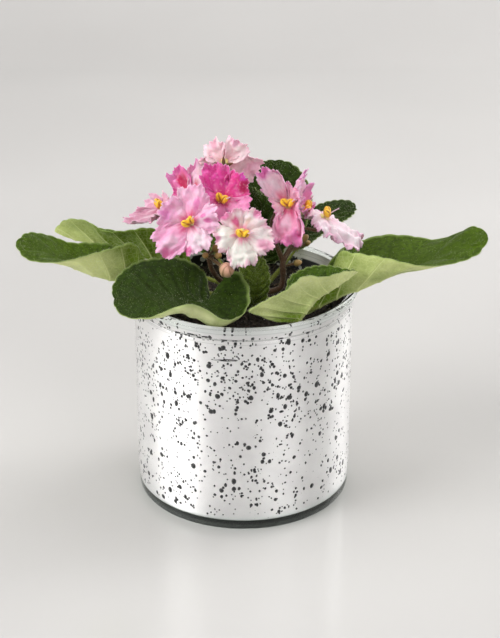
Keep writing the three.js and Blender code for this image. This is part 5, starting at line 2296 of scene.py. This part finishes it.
@dataclass
class Studio:
    """The plain pale floor, the soft lamps and the camera."""

    camera_place: tuple[float, float, float] = (0.0, -0.81114, 0.46756)
    pitch: float = 24.98
    yaw: float = 0.23
    focal_pixels: float = 1816.1
    frame_height: int = 638
    sensor: float = 36.0
    floor_near: float = -3000.0
    floor_bend: float = 700.0
    bend_radius: float = 500.0
    floor_side: float = 3500.0
    backdrop_top: float = 2600.0

    def build(self) -> None:
        """Builds the floor, lamps, sky and camera."""
        self.build_floor()
        for lamp in Light:
            place, size, power = lamp.value
            data = bpy.data.lights.new(lamp.name.title(), "AREA")
            data.shape = "RECTANGLE"
            data.size, data.size_y = size
            data.energy = power
            light = bpy.data.objects.new(lamp.name.title(), data)
            bpy.context.scene.collection.objects.link(light)
            light.location = place
            light.visible_camera = False
            away = np.array(place) - np.array([0.0, 0.0, 0.1])
            tilt = math.acos(away[2] / np.linalg.norm(away))
            light.rotation_euler = (tilt, 0.0, math.atan2(away[1], away[0]) + math.pi / 2)
        world = bpy.data.worlds.new("Soft sky")
        world.use_nodes = True
        n = Nodes(world.node_tree)
        height = n.part(n.coordinates("Generated"), 2)
        low, high = screen((104, 104, 102)), screen((244, 243, 241))
        n.feed(world.node_tree.nodes["Background"], {0: n.mix(n.ramp(height, 0.05, 0.7), low, high), 1: 0.4})
        bpy.context.scene.world = world
        camera = bpy.data.cameras.new("Camera")
        camera.sensor_width = self.sensor
        camera.lens = self.focal_pixels * self.sensor / self.frame_height
        eye = bpy.data.objects.new("Camera", camera)
        bpy.context.scene.collection.objects.link(eye)
        eye.location = self.camera_place
        eye.rotation_euler = (math.radians(90 - self.pitch), 0.0, -math.radians(self.yaw))
        bpy.context.scene.camera = eye
        bpy.context.scene.view_settings.view_transform = "Standard"

    def build_floor(self) -> None:
        """Makes the floor: flat round the vase, and rising in a slow curve far behind it."""
        turn = np.linspace(0, 1, 24) * np.pi / 2
        deep, high = self.bend_radius * np.sin(turn), self.bend_radius * (1 - np.cos(turn))
        bend = pairs(self.floor_bend + deep, high)
        line = np.vstack([[self.floor_near, 0], bend, [bend[-1, 0], self.backdrop_top]])
        x = np.array([-self.floor_side, self.floor_side])
        points = np.stack(np.broadcast_arrays(x[None, :], line[:, 0:1], line[:, 1:2]), -1)
        work = Patchwork()
        work.add(points, grid_quads(len(line), 2)[:, ::-1])
        work.build("floor", FloorFinish().material())


def main() -> None:
    """Builds the vase, its mix and the plant on the frame, and lights them."""
    logging.basicConfig(level=logging.INFO, format="%(message)s")
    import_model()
    down = Down(np.random.default_rng(7))
    GlassVase().build()
    PottingMix().build()
    ShortStem().build()
    for leaf in leaf_list():
        leaf.build(down)
    petals = PetalFinish().material()
    painted = PaintedFinish("Buds and sepals").material()
    sacs = PaintedFinish("Pollen sacs").material()
    blooms = bloom_list()
    for bloom in blooms:
        bloom.build(petals, sacs)
    bud = OpeningBud()
    for side, stalk in stalk_list().items():
        extra = [(list(bud.start), list(bud.at), bud.radius)] if side == "left" else []
        stalk.build([one for one in blooms if one.stalk == side], extra, down, painted)
    bud.build(painted)
    finish = FleshFinish("Hairs", (176, 188, 132), (206, 212, 178), 300.0, 0.6)
    settle(down.work.build("plant_hairs", finish.material()), "leaf")
    Studio().build()
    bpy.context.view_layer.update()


if __name__ == "__main__":
    main()
